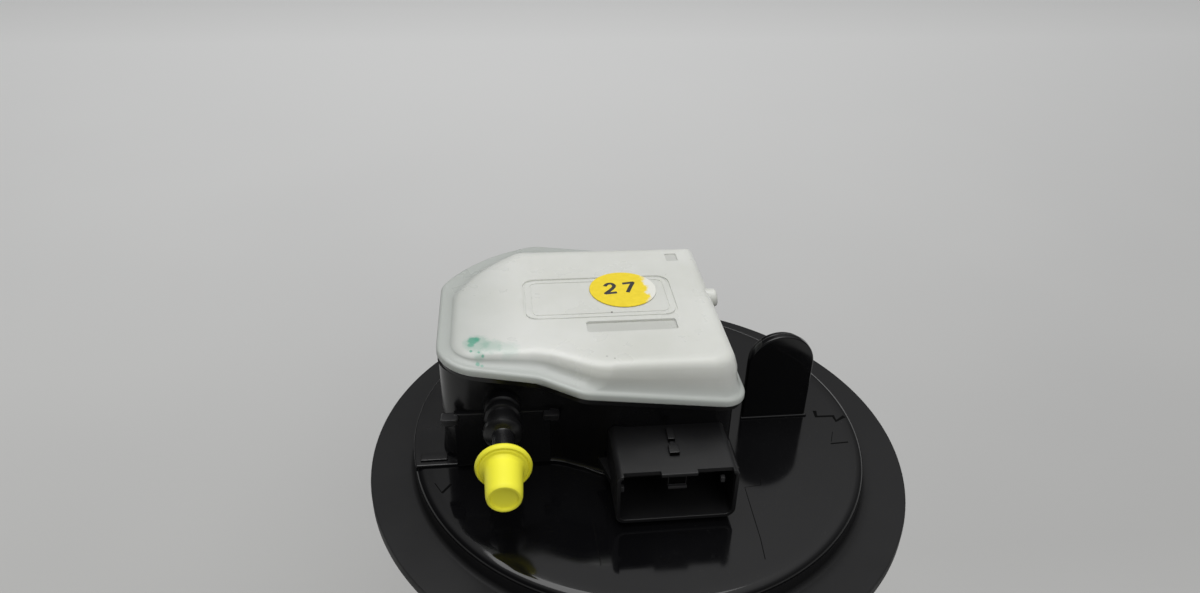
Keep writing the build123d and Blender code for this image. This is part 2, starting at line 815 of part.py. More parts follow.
with BuildPart() as rollover_float:
    with BuildSketch(Plane.XY.offset(valve_float_bottom)):
        with Locations(rollover_spot):
            Circle(valve_float_radius)
    extrude(amount=valve_float_top - valve_float_bottom)
    fillet(rollover_float.faces().sort_by(Axis.Z)[-1].edges(), 3.0)
    with BuildSketch(Plane.XY.offset(valve_float_top)):
        with Locations(rollover_spot):
            Circle(valve_nose_radius)
    extrude(amount=2.0, taper=30)
    with BuildSketch(Plane.XY.offset(valve_float_bottom)):
        with Locations(rollover_spot):
            Circle(valve_spring_radius + 1.2)
    extrude(amount=valve_pocket_depth, mode=Mode.SUBTRACT)
write(rollover_float.part, "rollover_float")

valve_spring_bottom = valve_bottom + valve_base_thickness
valve_spring_top = valve_float_bottom + valve_pocket_depth
valve_wire = 0.4

with BuildPart() as rollover_spring:
    with BuildLine():
        Helix(
            pitch=(valve_spring_top - valve_spring_bottom - 2 * valve_wire) / 4,
            height=valve_spring_top - valve_spring_bottom - 2 * valve_wire,
            radius=valve_spring_radius,
            center=(valve_x, valve_y, valve_spring_bottom + valve_wire),
        )
    with BuildSketch(
        Plane(
            origin=(valve_x + valve_spring_radius, valve_y, valve_spring_bottom + valve_wire),
            x_dir=(1, 0, 0),
            z_dir=(0, 1, 0),
        )
    ):
        Circle(valve_wire)
    sweep(is_frenet=True)
write(rollover_spring.part, "rollover_spring")

# Harness plug that closes the well under the plate
plug_bottom = -14.0
plug_gap = 0.2
plug_nose_length = 8.0

with BuildPart() as harness_plug:
    with BuildSketch(Plane.XY.offset(plug_bottom)):
        with Locations((socket_x, pin_leg_y)):
            RectangleRounded(plug_well_width, plug_well_depth, 1.5)
    extrude(amount=plug_well_bottom - plug_bottom)
    with BuildSketch(Plane.XY.offset(plug_well_bottom)):
        with Locations((socket_x, pin_leg_y)):
            RectangleRounded(
                plug_well_width - 2 * (plug_well_wall + plug_gap),
                plug_well_depth - 2 * (plug_well_wall + plug_gap),
                0.6,
            )
    extrude(amount=plug_nose_length)
    with BuildSketch(Plane.XY.offset(pin_bottom)):
        with Locations(*pin_spots):
            Rectangle(pin_width, pin_thickness)
    extrude(amount=tall_enough, mode=Mode.SUBTRACT)
write(harness_plug.part, "harness_plug")

# ================================================================ reservoir
snap_count = 3
snap_start_deg = -5.0
foot_gap_count = 4
snap_width = 9.0
snap_height = 3.0
foot_valve_spot = (30.0, -22.0)
foot_valve_radius = 7.0
foot_valve_stem_radius = 1.7
foot_hole_circle = 4.2
foot_hole_radius = 1.3
foot_ring_width = 5.0
rib_heights = (-120.0, -160.0)
rib_width = 1.6
rail_spacing = 29.2
rail_width = 2.2
rail_depth = 2.8
rail_length = 44.0
floor_underside = cup_bottom + cup_floor_lift
floor_top = floor_underside + cup_wall
regulator_spot = (18.0, -24.0)
regulator_radius = 9.5
standpipe_spot = (-26.0, -20.0)
standpipe_radius = 3.2
pump_spot = (pump_x, pump_y)
isolator_thickness = 2.5
pump_hole_radius = pump_radius + isolator_thickness + 0.1


def cup_plan(inset=0.0):
    """Plan of the reservoir: a circle with a flat front for the level sender."""
    with BuildSketch() as plan:
        Circle(cup_radius - inset)
        with Locations((0, cup_flat_y + inset - cup_radius)):
            Rectangle(2 * cup_radius, 2 * cup_radius, mode=Mode.SUBTRACT)
        fillet(plan.vertices(), 4.0)
    return plan.sketch


with BuildPart() as reservoir_cup:
    with BuildSketch(Plane.XY.offset(floor_underside)):
        add(cup_plan())
    extrude(amount=cup_top - floor_underside)
    with BuildSketch(Plane.XY.offset(floor_top)):
        add(cup_plan(inset=cup_wall))
    extrude(amount=cup_top - floor_top, mode=Mode.SUBTRACT)
    # foot ring with gaps that let fuel in under the floor
    with BuildSketch(Plane.XY.offset(cup_bottom)):
        add(cup_plan(inset=1.0))
        add(cup_plan(inset=1.0 + foot_ring_width), mode=Mode.SUBTRACT)
        with PolarLocations(cup_radius, foot_gap_count, start_angle=45):
            Rectangle(40.0, 16.0, mode=Mode.SUBTRACT)
    extrude(amount=cup_floor_lift)
    # windows for the lid's snaps
    with BuildSketch(Plane.XY.offset(cup_top - lid_skirt_depth + 1.0)):
        with PolarLocations(cup_radius, snap_count, snap_start_deg, 180, endpoint=True):
            Rectangle(4 * cup_wall, snap_width)
    extrude(amount=snap_height, mode=Mode.SUBTRACT)
    # two ribs round the outside
    for rib_z in rib_heights:
        with BuildSketch(Plane.XY.offset(rib_z)):
            add(cup_plan(inset=-1.0))
            add(cup_plan(inset=0.5), mode=Mode.SUBTRACT)
            with Locations((0, cup_flat_y - cup_radius + 4.0)):
                Rectangle(2 * cup_radius, 2 * cup_radius, mode=Mode.SUBTRACT)
        extrude(amount=rib_width)
    # rails for the level sender
    for rail_x in (sender_x - rail_spacing / 2, sender_x + rail_spacing / 2):
        with BuildSketch(Plane.XY.offset(sender_z - rail_length / 2)):
            with Locations((rail_x, cup_flat_y - rail_depth / 2)):
                Rectangle(rail_width, rail_depth)
        extrude(amount=rail_length)
    # foot valve seat
    with BuildSketch(Plane.XY.offset(floor_underside)):
        with Locations(foot_valve_spot):
            Circle(foot_valve_stem_radius)
            with PolarLocations(foot_hole_circle, 6):
                Circle(foot_hole_radius)
    extrude(amount=cup_wall, mode=Mode.SUBTRACT)
write(reservoir_cup.part, "reservoir_cup")

lid_top = cup_top + lid_thickness
regulator_cup_bottom = -103.0
regulator_cup_wall = 1.6
regulator_gap = 0.3
isolator_bottom = -112.0
isolator_top = -88.0
isolator_flutes = 16
isolator_flute_radius = 0.9
return_hole_spot = (-18.0, 30.0)
return_hole_radius = 5.0
spill_hole_radius = 2.0
isolator_ring_wall = 1.8

with BuildPart() as reservoir_lid:
    with BuildSketch(Plane.XY.offset(cup_top)):
        add(cup_plan())
    extrude(amount=lid_thickness)
    fillet(reservoir_lid.faces().sort_by(Axis.Z)[-1].edges(), 1.0)
    with BuildSketch(Plane.XY.offset(cup_top - lid_skirt_depth)):
        add(cup_plan(inset=cup_wall + 0.2))
        add(cup_plan(inset=2 * cup_wall), mode=Mode.SUBTRACT)
    extrude(amount=lid_skirt_depth)
    with BuildSketch(Plane.XY.offset(cup_top - lid_skirt_depth + 1.4)):
        with PolarLocations(cup_radius - cup_wall - 0.5, snap_count, snap_start_deg, 180, endpoint=True):
            Rectangle(3.6, snap_width - 1.0)
    extrude(amount=snap_height - 0.8)
    with BuildSketch(Plane.XY.offset(sleeve_bottom)):
        with Locations(*rod_spots):
            Circle(sleeve_radius)
    extrude(amount=sleeve_top - sleeve_bottom)
    with BuildSketch(Plane.XY.offset(isolator_bottom)):
        with Locations(pump_spot):
            Circle(pump_hole_radius + isolator_ring_wall)
    extrude(amount=cup_top - isolator_bottom)
    with BuildSketch(Plane.XY.offset(regulator_cup_bottom)):
        with Locations(regulator_spot):
            Circle(regulator_radius + regulator_gap + regulator_cup_wall)
    extrude(amount=cup_top - regulator_cup_bottom)
    with BuildSketch(Plane.XY.offset(isolator_bottom - 1.0)):
        with Locations(pump_spot):
            Circle(pump_hole_radius)
    extrude(amount=tall_enough, mode=Mode.SUBTRACT)
    with BuildSketch(Plane.XY.offset(regulator_cup_bottom + regulator_cup_wall)):
        with Locations(regulator_spot):
            Circle(regulator_radius + regulator_gap)
    extrude(amount=tall_enough, mode=Mode.SUBTRACT)
    with BuildSketch(Plane.XY.offset(sleeve_bottom)):
        with Locations(*rod_spots):
            Circle(rod_radius + slide_clearance)
        with Locations(standpipe_spot):
            Circle(standpipe_radius)
        with Locations(regulator_spot):
            Circle(spill_hole_radius)
        with Locations(return_hole_spot):
            Circle(return_hole_radius)
    extrude(amount=tall_enough, mode=Mode.SUBTRACT)
write(reservoir_lid.part, "reservoir_lid")

with BuildPart() as pump_isolator:
    with BuildSketch(Plane.XY.offset(isolator_bottom)):
        with Locations(pump_spot):
            Circle(pump_radius + isolator_thickness)
            Circle(pump_radius, mode=Mode.SUBTRACT)
            with PolarLocations(pump_radius + isolator_thickness, isolator_flutes):
                Circle(isolator_flute_radius, mode=Mode.SUBTRACT)
    extrude(amount=isolator_top - isolator_bottom)
write(pump_isolator.part, "pump_isolator")

# ---------------------------------------------------------------- pump
case_lip_radius = 16.5
case_lip_thickness = 1.0
case_inner_radius = pump_radius - pump_case_wall
cover_bottom = pump_case_bottom + case_lip_thickness
impeller_bottom = -162.9
impeller_top = -159.1
impeller_radius = 15.5
impeller_blades = 24
channel_radius = 13.9
channel_half_width = 1.3
channel_depth = 1.4
port_radius = 1.4
channel_land = (6.0, 5.0)
blade_pocket = 2.4
bearing_depth = 2.6
cover_face = impeller_bottom - 0.1
plate_face = impeller_top + 0.1
plate_top = -153.0
bush_radius = 4.0
bush_length = 5.0
armature_bottom = -148.0
armature_top = -116.0
armature_radius = 12.6
armature_slots = 8
armature_slot = (3.2, 1.6)
segment_gap = (5.0, 0.5)
magnet_gap = 13.0
commutator_bottom = -113.0
commutator_top = -109.0
commutator_radius = 9.0
end_cap_bottom = -106.0
end_cap_shoulder = pump_case_top - case_lip_thickness
end_cap_top = -88.0
outlet_spot = (10.0, 4.0)
outlet_radius = 4.0
outlet_top = -72.0
outlet_bore_radius = 3.0
valve_seat_z = -95.0
inlet_spot = (pump_x - 9.0, pump_y)
inlet_radius = 4.0
inlet_bottom = -181.0
brush_offset = 6.0
brush_spots = [(pump_x - 1.0, pump_y + brush_offset), (pump_x - 1.0, pump_y - brush_offset)]
brush_tunnel_length = 14.0

with BuildPart() as pump_case:
    with BuildSketch(Plane.XY.offset(pump_case_bottom)):
        with Locations(pump_spot):
            Circle(pump_radius)
    extrude(amount=pump_case_top - pump_case_bottom)
    fillet(pump_case.edges().filter_by(GeomType.CIRCLE), 0.9)
    with BuildSketch(Plane.XY.offset(pump_case_bottom)):
        with Locations(pump_spot):
            Circle(case_lip_radius)
    extrude(amount=pump_case_top - pump_case_bottom, mode=Mode.SUBTRACT)
    with BuildSketch(Plane.XY.offset(cover_bottom)):
        with Locations(pump_spot):
            Circle(case_inner_radius)
    extrude(amount=end_cap_shoulder - cover_bottom, mode=Mode.SUBTRACT)
write(pump_case.part, "pump_case")

with BuildPart() as pump_inlet_cover:
    with BuildSketch(Plane.XY.offset(cover_bottom)):
        with Locations(pump_spot):
            Circle(case_inner_radius)
    extrude(amount=cover_face - cover_bottom)
    with BuildSketch(Plane.XY.offset(inlet_bottom)):
        with Locations(inlet_spot):
            Circle(inlet_radius)
    extrude(amount=cover_bottom - inlet_bottom)
    # side channel under the blades, with the land between its two ends
    with BuildSketch(Plane.XY.offset(cover_face)):
        with Locations(pump_spot):
            Circle(channel_radius + channel_half_width)
            Circle(channel_radius - channel_half_width, mode=Mode.SUBTRACT)
            with Locations((-channel_radius, 4.0)):
                Rectangle(*channel_land, mode=Mode.SUBTRACT)
    extrude(amount=-channel_depth, mode=Mode.SUBTRACT)
    with BuildSketch(Plane.XY.offset(inlet_bottom)):
        with Locations(inlet_spot):
            Circle(inlet_radius - 1.2)
    extrude(amount=cover_bottom - inlet_bottom + 2.0, mode=Mode.SUBTRACT)
    with BuildSketch(Plane.XY.offset(cover_bottom + 1.5)):
        with Locations((pump_x - channel_radius + 1.0, pump_y)):
            Circle(port_radius)
    extrude(amount=cover_face - cover_bottom, mode=Mode.SUBTRACT)
    # bearing pocket of the shaft's lower end
    with BuildSketch(Plane.XY.offset(cover_face - bearing_depth)):
        with Locations(pump_spot):
            Circle(shaft_radius + running_clearance)
    extrude(amount=bearing_depth, mode=Mode.SUBTRACT)
write(pump_inlet_cover.part, "pump_inlet_cover")

with BuildPart() as pump_channel_plate:
    with BuildSketch(Plane.XY.offset(cover_face)):
        with Locations(pump_spot):
            Circle(case_inner_radius)
            Circle(impeller_radius + 0.3, mode=Mode.SUBTRACT)
    extrude(amount=plate_top - cover_face)
    with BuildSketch(Plane.XY.offset(plate_face)):
        with Locations(pump_spot):
            Circle(case_inner_radius)
    extrude(amount=plate_top - plate_face)
    with BuildSketch(Plane.XY.offset(plate_face)):
        with Locations(pump_spot):
            Circle(channel_radius + channel_half_width)
            Circle(channel_radius - channel_half_width, mode=Mode.SUBTRACT)
            with Locations((-channel_radius, -4.0)):
                Rectangle(*channel_land, mode=Mode.SUBTRACT)
    extrude(amount=channel_depth, mode=Mode.SUBTRACT)
    with BuildSketch(Plane.XY.offset(plate_face)):
        with Locations(pump_spot):
            Circle(bush_radius)
        with Locations((pump_x - channel_radius, pump_y)):
            Circle(port_radius)
    extrude(amount=plate_top - plate_face, mode=Mode.SUBTRACT)
write(pump_channel_plate.part, "pump_channel_plate")

with BuildPart() as impeller:
    with BuildSketch(Plane.XY.offset(impeller_bottom)):
        with Locations(pump_spot):
            Circle(impeller_radius)
            Circle(shaft_radius, mode=Mode.SUBTRACT)
            # pockets between the blades, closed outside by a thin ring
            with PolarLocations(channel_radius, impeller_blades):
                Rectangle(blade_pocket, blade_pocket, mode=Mode.SUBTRACT)
    extrude(amount=impeller_top - impeller_bottom)
write(impeller.part, "impeller")

with BuildPart() as rotor_shaft:
    with BuildSketch(Plane.XY.offset(cover_face - 2.0)):
        with Locations(pump_spot):
            Circle(shaft_radius)
    extrude(amount=end_cap_bottom + bush_length - cover_face + 2.0)
write(rotor_shaft.part, "rotor_shaft")

with BuildPart() as armature:
    with BuildSketch(Plane.XY.offset(armature_bottom)):
        with Locations(pump_spot):
            Circle(armature_radius)
            Circle(shaft_radius, mode=Mode.SUBTRACT)
            with PolarLocations(armature_radius - 1.0, armature_slots):
                Rectangle(*armature_slot, mode=Mode.SUBTRACT)
    extrude(amount=armature_top - armature_bottom)
write(armature.part, "armature")

with BuildPart() as commutator:
    with BuildSketch(Plane.XY.offset(armature_top)):
        with Locations(pump_spot):
            Circle(bush_radius + 1.0)
            Circle(shaft_radius, mode=Mode.SUBTRACT)
    extrude(amount=commutator_bottom - armature_top)
    with BuildSketch(Plane.XY.offset(commutator_bottom)):
        with Locations(pump_spot):
            Circle(commutator_radius)
            Circle(shaft_radius, mode=Mode.SUBTRACT)
    extrude(amount=commutator_top - commutator_bottom)
    # gaps between the segments
    with BuildSketch(Plane.XY.offset(commutator_top)):
        with Locations(pump_spot):
            with PolarLocations(commutator_radius - 2.0, armature_slots):
                Rectangle(*segment_gap)
    extrude(amount=-1.5, mode=Mode.SUBTRACT)
write(commutator.part, "commutator")

with BuildPart() as field_magnets:
    with BuildSketch(Plane.XY.offset(armature_bottom - 2.0)):
        with Locations(pump_spot):
            Circle(case_inner_radius - 0.1)
            Circle(armature_radius + rotor_clearance, mode=Mode.SUBTRACT)
            Rectangle(2 * pump_radius, magnet_gap, mode=Mode.SUBTRACT)
    extrude(amount=armature_top - armature_bottom + 4.0)
write(field_magnets.part, "field_magnets")

with BuildPart() as pump_bushes:
    with BuildSketch(Plane.XY.offset(plate_top - bush_length)):
        with Locations(pump_spot):
            Circle(bush_radius)
            Circle(shaft_radius + running_clearance, mode=Mode.SUBTRACT)
    extrude(amount=bush_length)
    with BuildSketch(Plane.XY.offset(end_cap_bottom)):
        with Locations(pump_spot):
            Circle(bush_radius)
            Circle(shaft_radius + running_clearance, mode=Mode.SUBTRACT)
    extrude(amount=bush_length)
write(pump_bushes.part, "pump_bushes")

brush_length = 8.0
brush_width = 4.0
brush_depth = 3.0
brush_bottom = commutator_top + 0.1

with BuildPart() as pump_brushes:
    with BuildSketch(Plane.XY.offset(brush_bottom)):
        with Locations(*brush_spots):
            Rectangle(brush_width, brush_depth)
    extrude(amount=brush_length)
write(pump_brushes.part, "pump_brushes")

with BuildPart() as pump_end_cap:
    with BuildSketch(Plane.XY.offset(end_cap_bottom)):
        with Locations(pump_spot):
            Circle(case_inner_radius)
    extrude(amount=end_cap_shoulder - end_cap_bottom)
    with BuildSketch(Plane.XY.offset(end_cap_shoulder)):
        with Locations(pump_spot):
            Circle(case_lip_radius)
    extrude(amount=end_cap_top - end_cap_shoulder)
    fillet(pump_end_cap.faces().sort_by(Axis.Z)[-1].edges(), 2.0)
    with BuildSketch(Plane.XY.offset(end_cap_top - 1.0)):
        with Locations(outlet_spot):
            Circle(outlet_radius)
    extrude(amount=outlet_top - end_cap_top + 1.0)
    # brush tunnels and bearing seat
    with BuildSketch(Plane.XY.offset(end_cap_bottom)):
        with Locations(*brush_spots):
            Rectangle(brush_width, brush_depth)
    extrude(amount=brush_tunnel_length, mode=Mode.SUBTRACT)
    with BuildSketch(Plane.XY.offset(end_cap_bottom)):
        with Locations(pump_spot):
            Circle(bush_radius)
    extrude(amount=bush_length, mode=Mode.SUBTRACT)
    # outlet passage with the seat of the check valve
    with BuildSketch(Plane.XY.offset(end_cap_bottom + bush_length + 0.8)):
        with Locations(outlet_spot):
            Circle(port_radius)
    extrude(amount=tall_enough, mode=Mode.SUBTRACT)
    with BuildSketch(Plane.XY.offset(valve_seat_z)):
        with Locations(outlet_spot):
            Circle(outlet_bore_radius)
    extrude(amount=tall_enough, mode=Mode.SUBTRACT)
write(pump_end_cap.part, "pump_end_cap")

# Check valve in the outlet: a poppet with a pointed nose, and its spring
poppet_radius = 2.5
poppet_top = -89.0
poppet_stem_radius = 1.3
poppet_stem_length = 3.0
check_spring_radius = 2.0
check_spring_top = -76.0
check_wire = 0.3

with BuildPart() as check_valve:
    with BuildSketch(Plane.XY.offset(valve_seat_z)):
        with Locations(outlet_spot):
            Circle(poppet_radius)
    extrude(amount=poppet_top - valve_seat_z)
    with BuildSketch(Plane.XY.offset(poppet_top)):
        with Locations(outlet_spot):
            Circle(poppet_stem_radius)
    extrude(amount=poppet_stem_length)
    chamfer(check_valve.faces().sort_by(Axis.Z)[0].edges(), 0.6)
write(check_valve.part, "check_valve")

with BuildPart() as check_spring:
    with BuildLine():
        Helix(
            pitch=(check_spring_top - poppet_top - 2 * check_wire) / 4,
            height=check_spring_top - poppet_top - 2 * check_wire,
            radius=check_spring_radius,
            center=(outlet_spot[0], outlet_spot[1], poppet_top + check_wire),
        )
    with BuildSketch(
        Plane(
            origin=(outlet_spot[0] + check_spring_radius, outlet_spot[1], poppet_top + check_wire),
            x_dir=(1, 0, 0),
            z_dir=(0, 1, 0),
        )
    ):
        Circle(check_wire)
    sweep(is_frenet=True)
write(check_spring.part, "check_spring")

# Outlet manifold: takes fuel from the pump to the hose, and spills the surplus to the regulator
manifold_bottom = -80.0
manifold_top = -66.0
manifold_half = 7.0
manifold_wall_top = 3.0
spigot_height = -74.0
hose_barb_tip_x = -8.0
hose_barb_root_x = 3.0
regulator_cap_top = -77.0
regulator_cap_radius = 11.4
duct_half_width = 4.0
duct_height = 8.0

with BuildPart() as outlet_manifold:
    with BuildSketch(Plane.XY.offset(manifold_bottom)):
        with Locations(outlet_spot):
            RectangleRounded(2 * manifold_half, 2 * manifold_half, 2.5)
    extrude(amount=manifold_top - manifold_bottom)
    fillet(outlet_manifold.faces().sort_by(Axis.Z)[-1].edges(), 1.5)
    # duct that runs to the regulator, and the regulator's cap
    with BuildSketch(Plane.XY.offset(manifold_bottom)):
        with BuildLine():
            Line(outlet_spot, regulator_spot)
        trace(line_width=2 * duct_half_width)
    extrude(amount=duct_height)
    with BuildSketch(Plane.XY.offset(lid_top)):
        with Locations(regulator_spot):
            Circle(regulator_cap_radius)
    extrude(amount=regulator_cap_top - lid_top + 3.0)
    # hose barb
    with BuildSketch(Plane((0, outlet_spot[1], spigot_height), x_dir=(1, 0, 0), z_dir=(0, -1, 0))):
        with BuildLine():
            Polyline(
                (hose_barb_tip_x, 0),
                (hose_barb_tip_x, stub_radius),
                (hose_barb_tip_x + barb_pitch * 0.7, barb_radius),
                (hose_barb_tip_x + barb_pitch, stub_radius),
                (hose_barb_tip_x + barb_pitch * 1.7, barb_radius),
                (hose_barb_tip_x + barb_pitch * 2, stub_radius),
                (hose_barb_root_x, stub_radius),
                (hose_barb_root_x, barb_radius + 1.0),
                (hose_barb_root_x + 4.0, barb_radius + 1.0),
                (hose_barb_root_x + 4.0, 0),
                close=True,
            )
        make_face()
    revolve(axis=Axis((0, outlet_spot[1], spigot_height), (1, 0, 0)))
    # passages
    with BuildSketch(Plane.XY.offset(manifold_bottom)):
        with Locations(outlet_spot):
            Circle(outlet_radius)
    extrude(amount=outlet_top - manifold_bottom, mode=Mode.SUBTRACT)
    with BuildSketch(Plane.YZ.offset(hose_barb_tip_x)):
        with Locations((outlet_spot[1], spigot_height)):
            Circle(stub_bore_radius)
    extrude(amount=hose_barb_root_x - hose_barb_tip_x + 2.0, mode=Mode.SUBTRACT)
    with BuildSketch(Plane.XY.offset(outlet_top - 1.0)):
        with Locations(outlet_spot):
            Circle(outlet_bore_radius)
    extrude(amount=manifold_wall_top, mode=Mode.SUBTRACT)
write(outlet_manifold.part, "outlet_manifold")

# Pressure regulator in the lid's cup: can, valve, spring and retaining ring
regulator_bottom = regulator_cup_bottom + regulator_cup_wall
regulator_top = lid_top
regulator_can_wall = 0.8
regulator_valve_bottom = -98.0
regulator_valve_top = -93.0
regulator_valve_radius = 6.0
regulator_spring_radius = 4.0
regulator_wire = 0.5
regulator_seat_radius = 3.0
regulator_seat_bore = 1.6
regulator_disc_thickness = 1.6
regulator_stem_radius = 2.6

with BuildPart() as regulator_case:
    with BuildSketch(Plane.XY.offset(regulator_bottom)):
        with Locations(regulator_spot):
            Circle(regulator_radius)
    extrude(amount=regulator_top - regulator_bottom)
    fillet(regulator_case.edges().filter_by(GeomType.CIRCLE), 1.0)
    with BuildSketch(Plane.XY.offset(regulator_bottom + regulator_can_wall)):
        with Locations(regulator_spot):
            Circle(regulator_radius - regulator_can_wall)
    extrude(
        amount=regulator_top - regulator_bottom - 2 * regulator_can_wall, mode=Mode.SUBTRACT
    )
    # valve seat: a spout that stands up from the bottom
    with BuildSketch(Plane.XY.offset(regulator_bottom)):
        with Locations(regulator_spot):
            Circle(regulator_seat_radius)
            Circle(regulator_seat_bore, mode=Mode.SUBTRACT)
    extrude(amount=regulator_valve_bottom - regulator_bottom)
    with BuildSketch(Plane.XY.offset(regulator_bottom)):
        with Locations(regulator_spot):
            Circle(regulator_seat_bore)
    extrude(amount=regulator_can_wall, mode=Mode.SUBTRACT)
write(regulator_case.part, "regulator_case")

with BuildPart() as regulator_valve:
    with BuildSketch(Plane.XY.offset(regulator_valve_bottom)):
        with Locations(regulator_spot):
            Circle(regulator_valve_radius)
    extrude(amount=regulator_disc_thickness)
    with BuildSketch(Plane.XY.offset(regulator_valve_bottom + regulator_disc_thickness)):
        with Locations(regulator_spot):
            Circle(regulator_stem_radius)
    extrude(amount=regulator_valve_top - regulator_valve_bottom - regulator_disc_thickness)
    fillet(regulator_valve.faces().sort_by(Axis.Z)[-1].edges(), 0.6)
write(regulator_valve.part, "regulator_valve")

regulator_spring_bottom = regulator_valve_bottom + regulator_disc_thickness
regulator_spring_top = regulator_top - regulator_can_wall

with BuildPart() as regulator_spring:
    with BuildLine():
        Helix(
            pitch=(regulator_spring_top - regulator_spring_bottom - 2 * regulator_wire) / 4,
            height=regulator_spring_top - regulator_spring_bottom - 2 * regulator_wire,
            radius=regulator_spring_radius,
            center=(regulator_spot[0], regulator_spot[1], regulator_spring_bottom + regulator_wire),
        )
    with BuildSketch(
        Plane(
            origin=(
                regulator_spot[0] + regulator_spring_radius,
                regulator_spot[1],
                regulator_spring_bottom + regulator_wire,
            ),
            x_dir=(1, 0, 0),
            z_dir=(0, 1, 0),
        )
    ):
        Circle(regulator_wire)
    sweep(is_frenet=True)
write(regulator_spring.part, "regulator_spring")

# Inlet strainer: a flat sock of woven mesh on the pump's inlet
strainer_bottom = -189.6
strainer_thickness = 7.6
strainer_spot = (2.0, 8.0)
strainer_length = 46.0
strainer_width = 26.0
strainer_corner = 9.0

with BuildPart() as inlet_strainer:
    with BuildSketch(Plane.XY.offset(strainer_bottom)):
        with Locations(strainer_spot):
            RectangleRounded(strainer_length, strainer_width, strainer_corner)
    extrude(amount=strainer_thickness)
    fillet(inlet_strainer.edges().filter_by(Plane.XY), 2.4)
    with BuildSketch(Plane.XY.offset(strainer_bottom + strainer_thickness - 2.0)):
        with Locations(inlet_spot):
            Circle(inlet_radius + 1.6)
    extrude(amount=5.0)
    with BuildSketch(Plane.XY.offset(inlet_bottom)):
        with Locations(inlet_spot):
            Circle(inlet_radius)
    extrude(amount=10.0, mode=Mode.SUBTRACT)
write(inlet_strainer.part, "inlet_strainer")

# Jet pump: a standpipe from the lid, a nozzle, and a venturi tube that draws fuel into the cup
venturi_radius = 4.6
venturi_z = -183.0
venturi_start_y = standpipe_spot[1]
venturi_end_y = 22.0
nozzle_radius = 2.4
nozzle_length = 9.0
nozzle_tip_length = 2.5
nozzle_tip_radius = 0.9
nozzle_bore_radius = 0.5
jet_wall = 1.2
venturi_foot = (5.0, 3.0)
suction_window = (6.0, 4.0)
mixing_length = 6.0
standpipe_top = lid_top + 4.0

with BuildPart() as jet_pump:
    with BuildSketch(Plane.XY.offset(venturi_z)):
        with Locations(standpipe_spot):
            Circle(standpipe_radius)
    extrude(amount=standpipe_top - venturi_z)
    with BuildSketch(Plane.XZ.offset(-venturi_start_y + venturi_radius)):
        with Locations((standpipe_spot[0], venturi_z)):
            Circle(venturi_radius)
    extrude(amount=-(venturi_end_y - venturi_start_y + venturi_radius))
    with BuildSketch(Plane.XY.offset(floor_top)):
        with Locations((standpipe_spot[0], venturi_start_y + 4.0), (standpipe_spot[0], 12.0)):
            Rectangle(*venturi_foot)
    extrude(amount=venturi_z - floor_top - 3.0)
    # bores: standpipe, nozzle seat and diffuser
    with BuildSketch(Plane.XY.offset(venturi_z)):
        with Locations(standpipe_spot):
            Circle(standpipe_radius - jet_wall)
    extrude(amount=tall_enough * 2, mode=Mode.SUBTRACT)
    with BuildSketch(Plane.XZ.offset(-venturi_start_y + 1.0)):
        with Locations((standpipe_spot[0], venturi_z)):
            Circle(nozzle_radius)
    extrude(amount=-(venturi_end_y - venturi_start_y + 1.0), mode=Mode.SUBTRACT)
    with BuildSketch(Plane.XZ.offset(-venturi_start_y - nozzle_length)):
        with Locations((standpipe_spot[0], venturi_z)):
            Circle(venturi_radius - jet_wall)
    extrude(amount=-mixing_length, mode=Mode.SUBTRACT)
    # suction window
    with BuildSketch(Plane.XY.offset(venturi_z)):
        with Locations((standpipe_spot[0], venturi_start_y + nozzle_length + 3.0)):
            Rectangle(*suction_window)
    extrude(amount=8.0, mode=Mode.SUBTRACT)
write(jet_pump.part, "jet_pump")

with BuildPart() as jet_nozzle:
    with BuildSketch(
        Plane((standpipe_spot[0], 0, venturi_z), x_dir=(0, 1, 0), z_dir=(-1, 0, 0))
    ):
        with BuildLine():
            Polyline(
                (venturi_start_y + standpipe_radius, nozzle_bore_radius),
                (venturi_start_y + standpipe_radius, nozzle_radius),
                (venturi_start_y + nozzle_length, nozzle_radius),
                (venturi_start_y + nozzle_length + nozzle_tip_length, nozzle_tip_radius),
                (venturi_start_y + nozzle_length + nozzle_tip_length, nozzle_bore_radius),
                close=True,
            )
        make_face()
    revolve(axis=Axis((standpipe_spot[0], 0, venturi_z), (0, 1, 0)))
write(jet_nozzle.part, "jet_nozzle")

# Foot valve: a rubber umbrella over the inlet holes in the floor
with BuildPart() as foot_valve:
    with BuildSketch(Plane.XY.offset(floor_top)):
        with Locations(foot_valve_spot):
            Circle(foot_valve_radius)
    extrude(amount=1.0)
    with BuildSketch(Plane.XY.offset(floor_underside - 0.8)):
        with Locations(foot_valve_spot):
            Circle(foot_valve_stem_radius)
    extrude(amount=cup_wall + 0.8)
    fillet(foot_valve.faces().sort_by(Axis.Z)[-1].edges(), 0.6)
write(foot_valve.part, "foot_valve")

# ---------------------------------------------------------------- level sender
sender_half_width = 13.0
sender_half_height = 20.0
sender_front_y = -51.0
card_thickness = 0.8
card_rise = 12.0
card_proud = 0.4
card_width = 22.0
card_height = 13.0
hub_radius = 5.0
hub_pad_height = 0.8
lead_clip_size = (14.0, 5.0)
lead_clip_height = 3.0
lug_length = 10.0
lug_width = 4.6
lug_thickness = 3.8
carrier_thickness = 1.6
hub_back_y = -52.6
hub_front_y = -58.0
arm_y = -56.2
pivot_radius = 2.0
sender_pivot = (sender_x, sender_z)

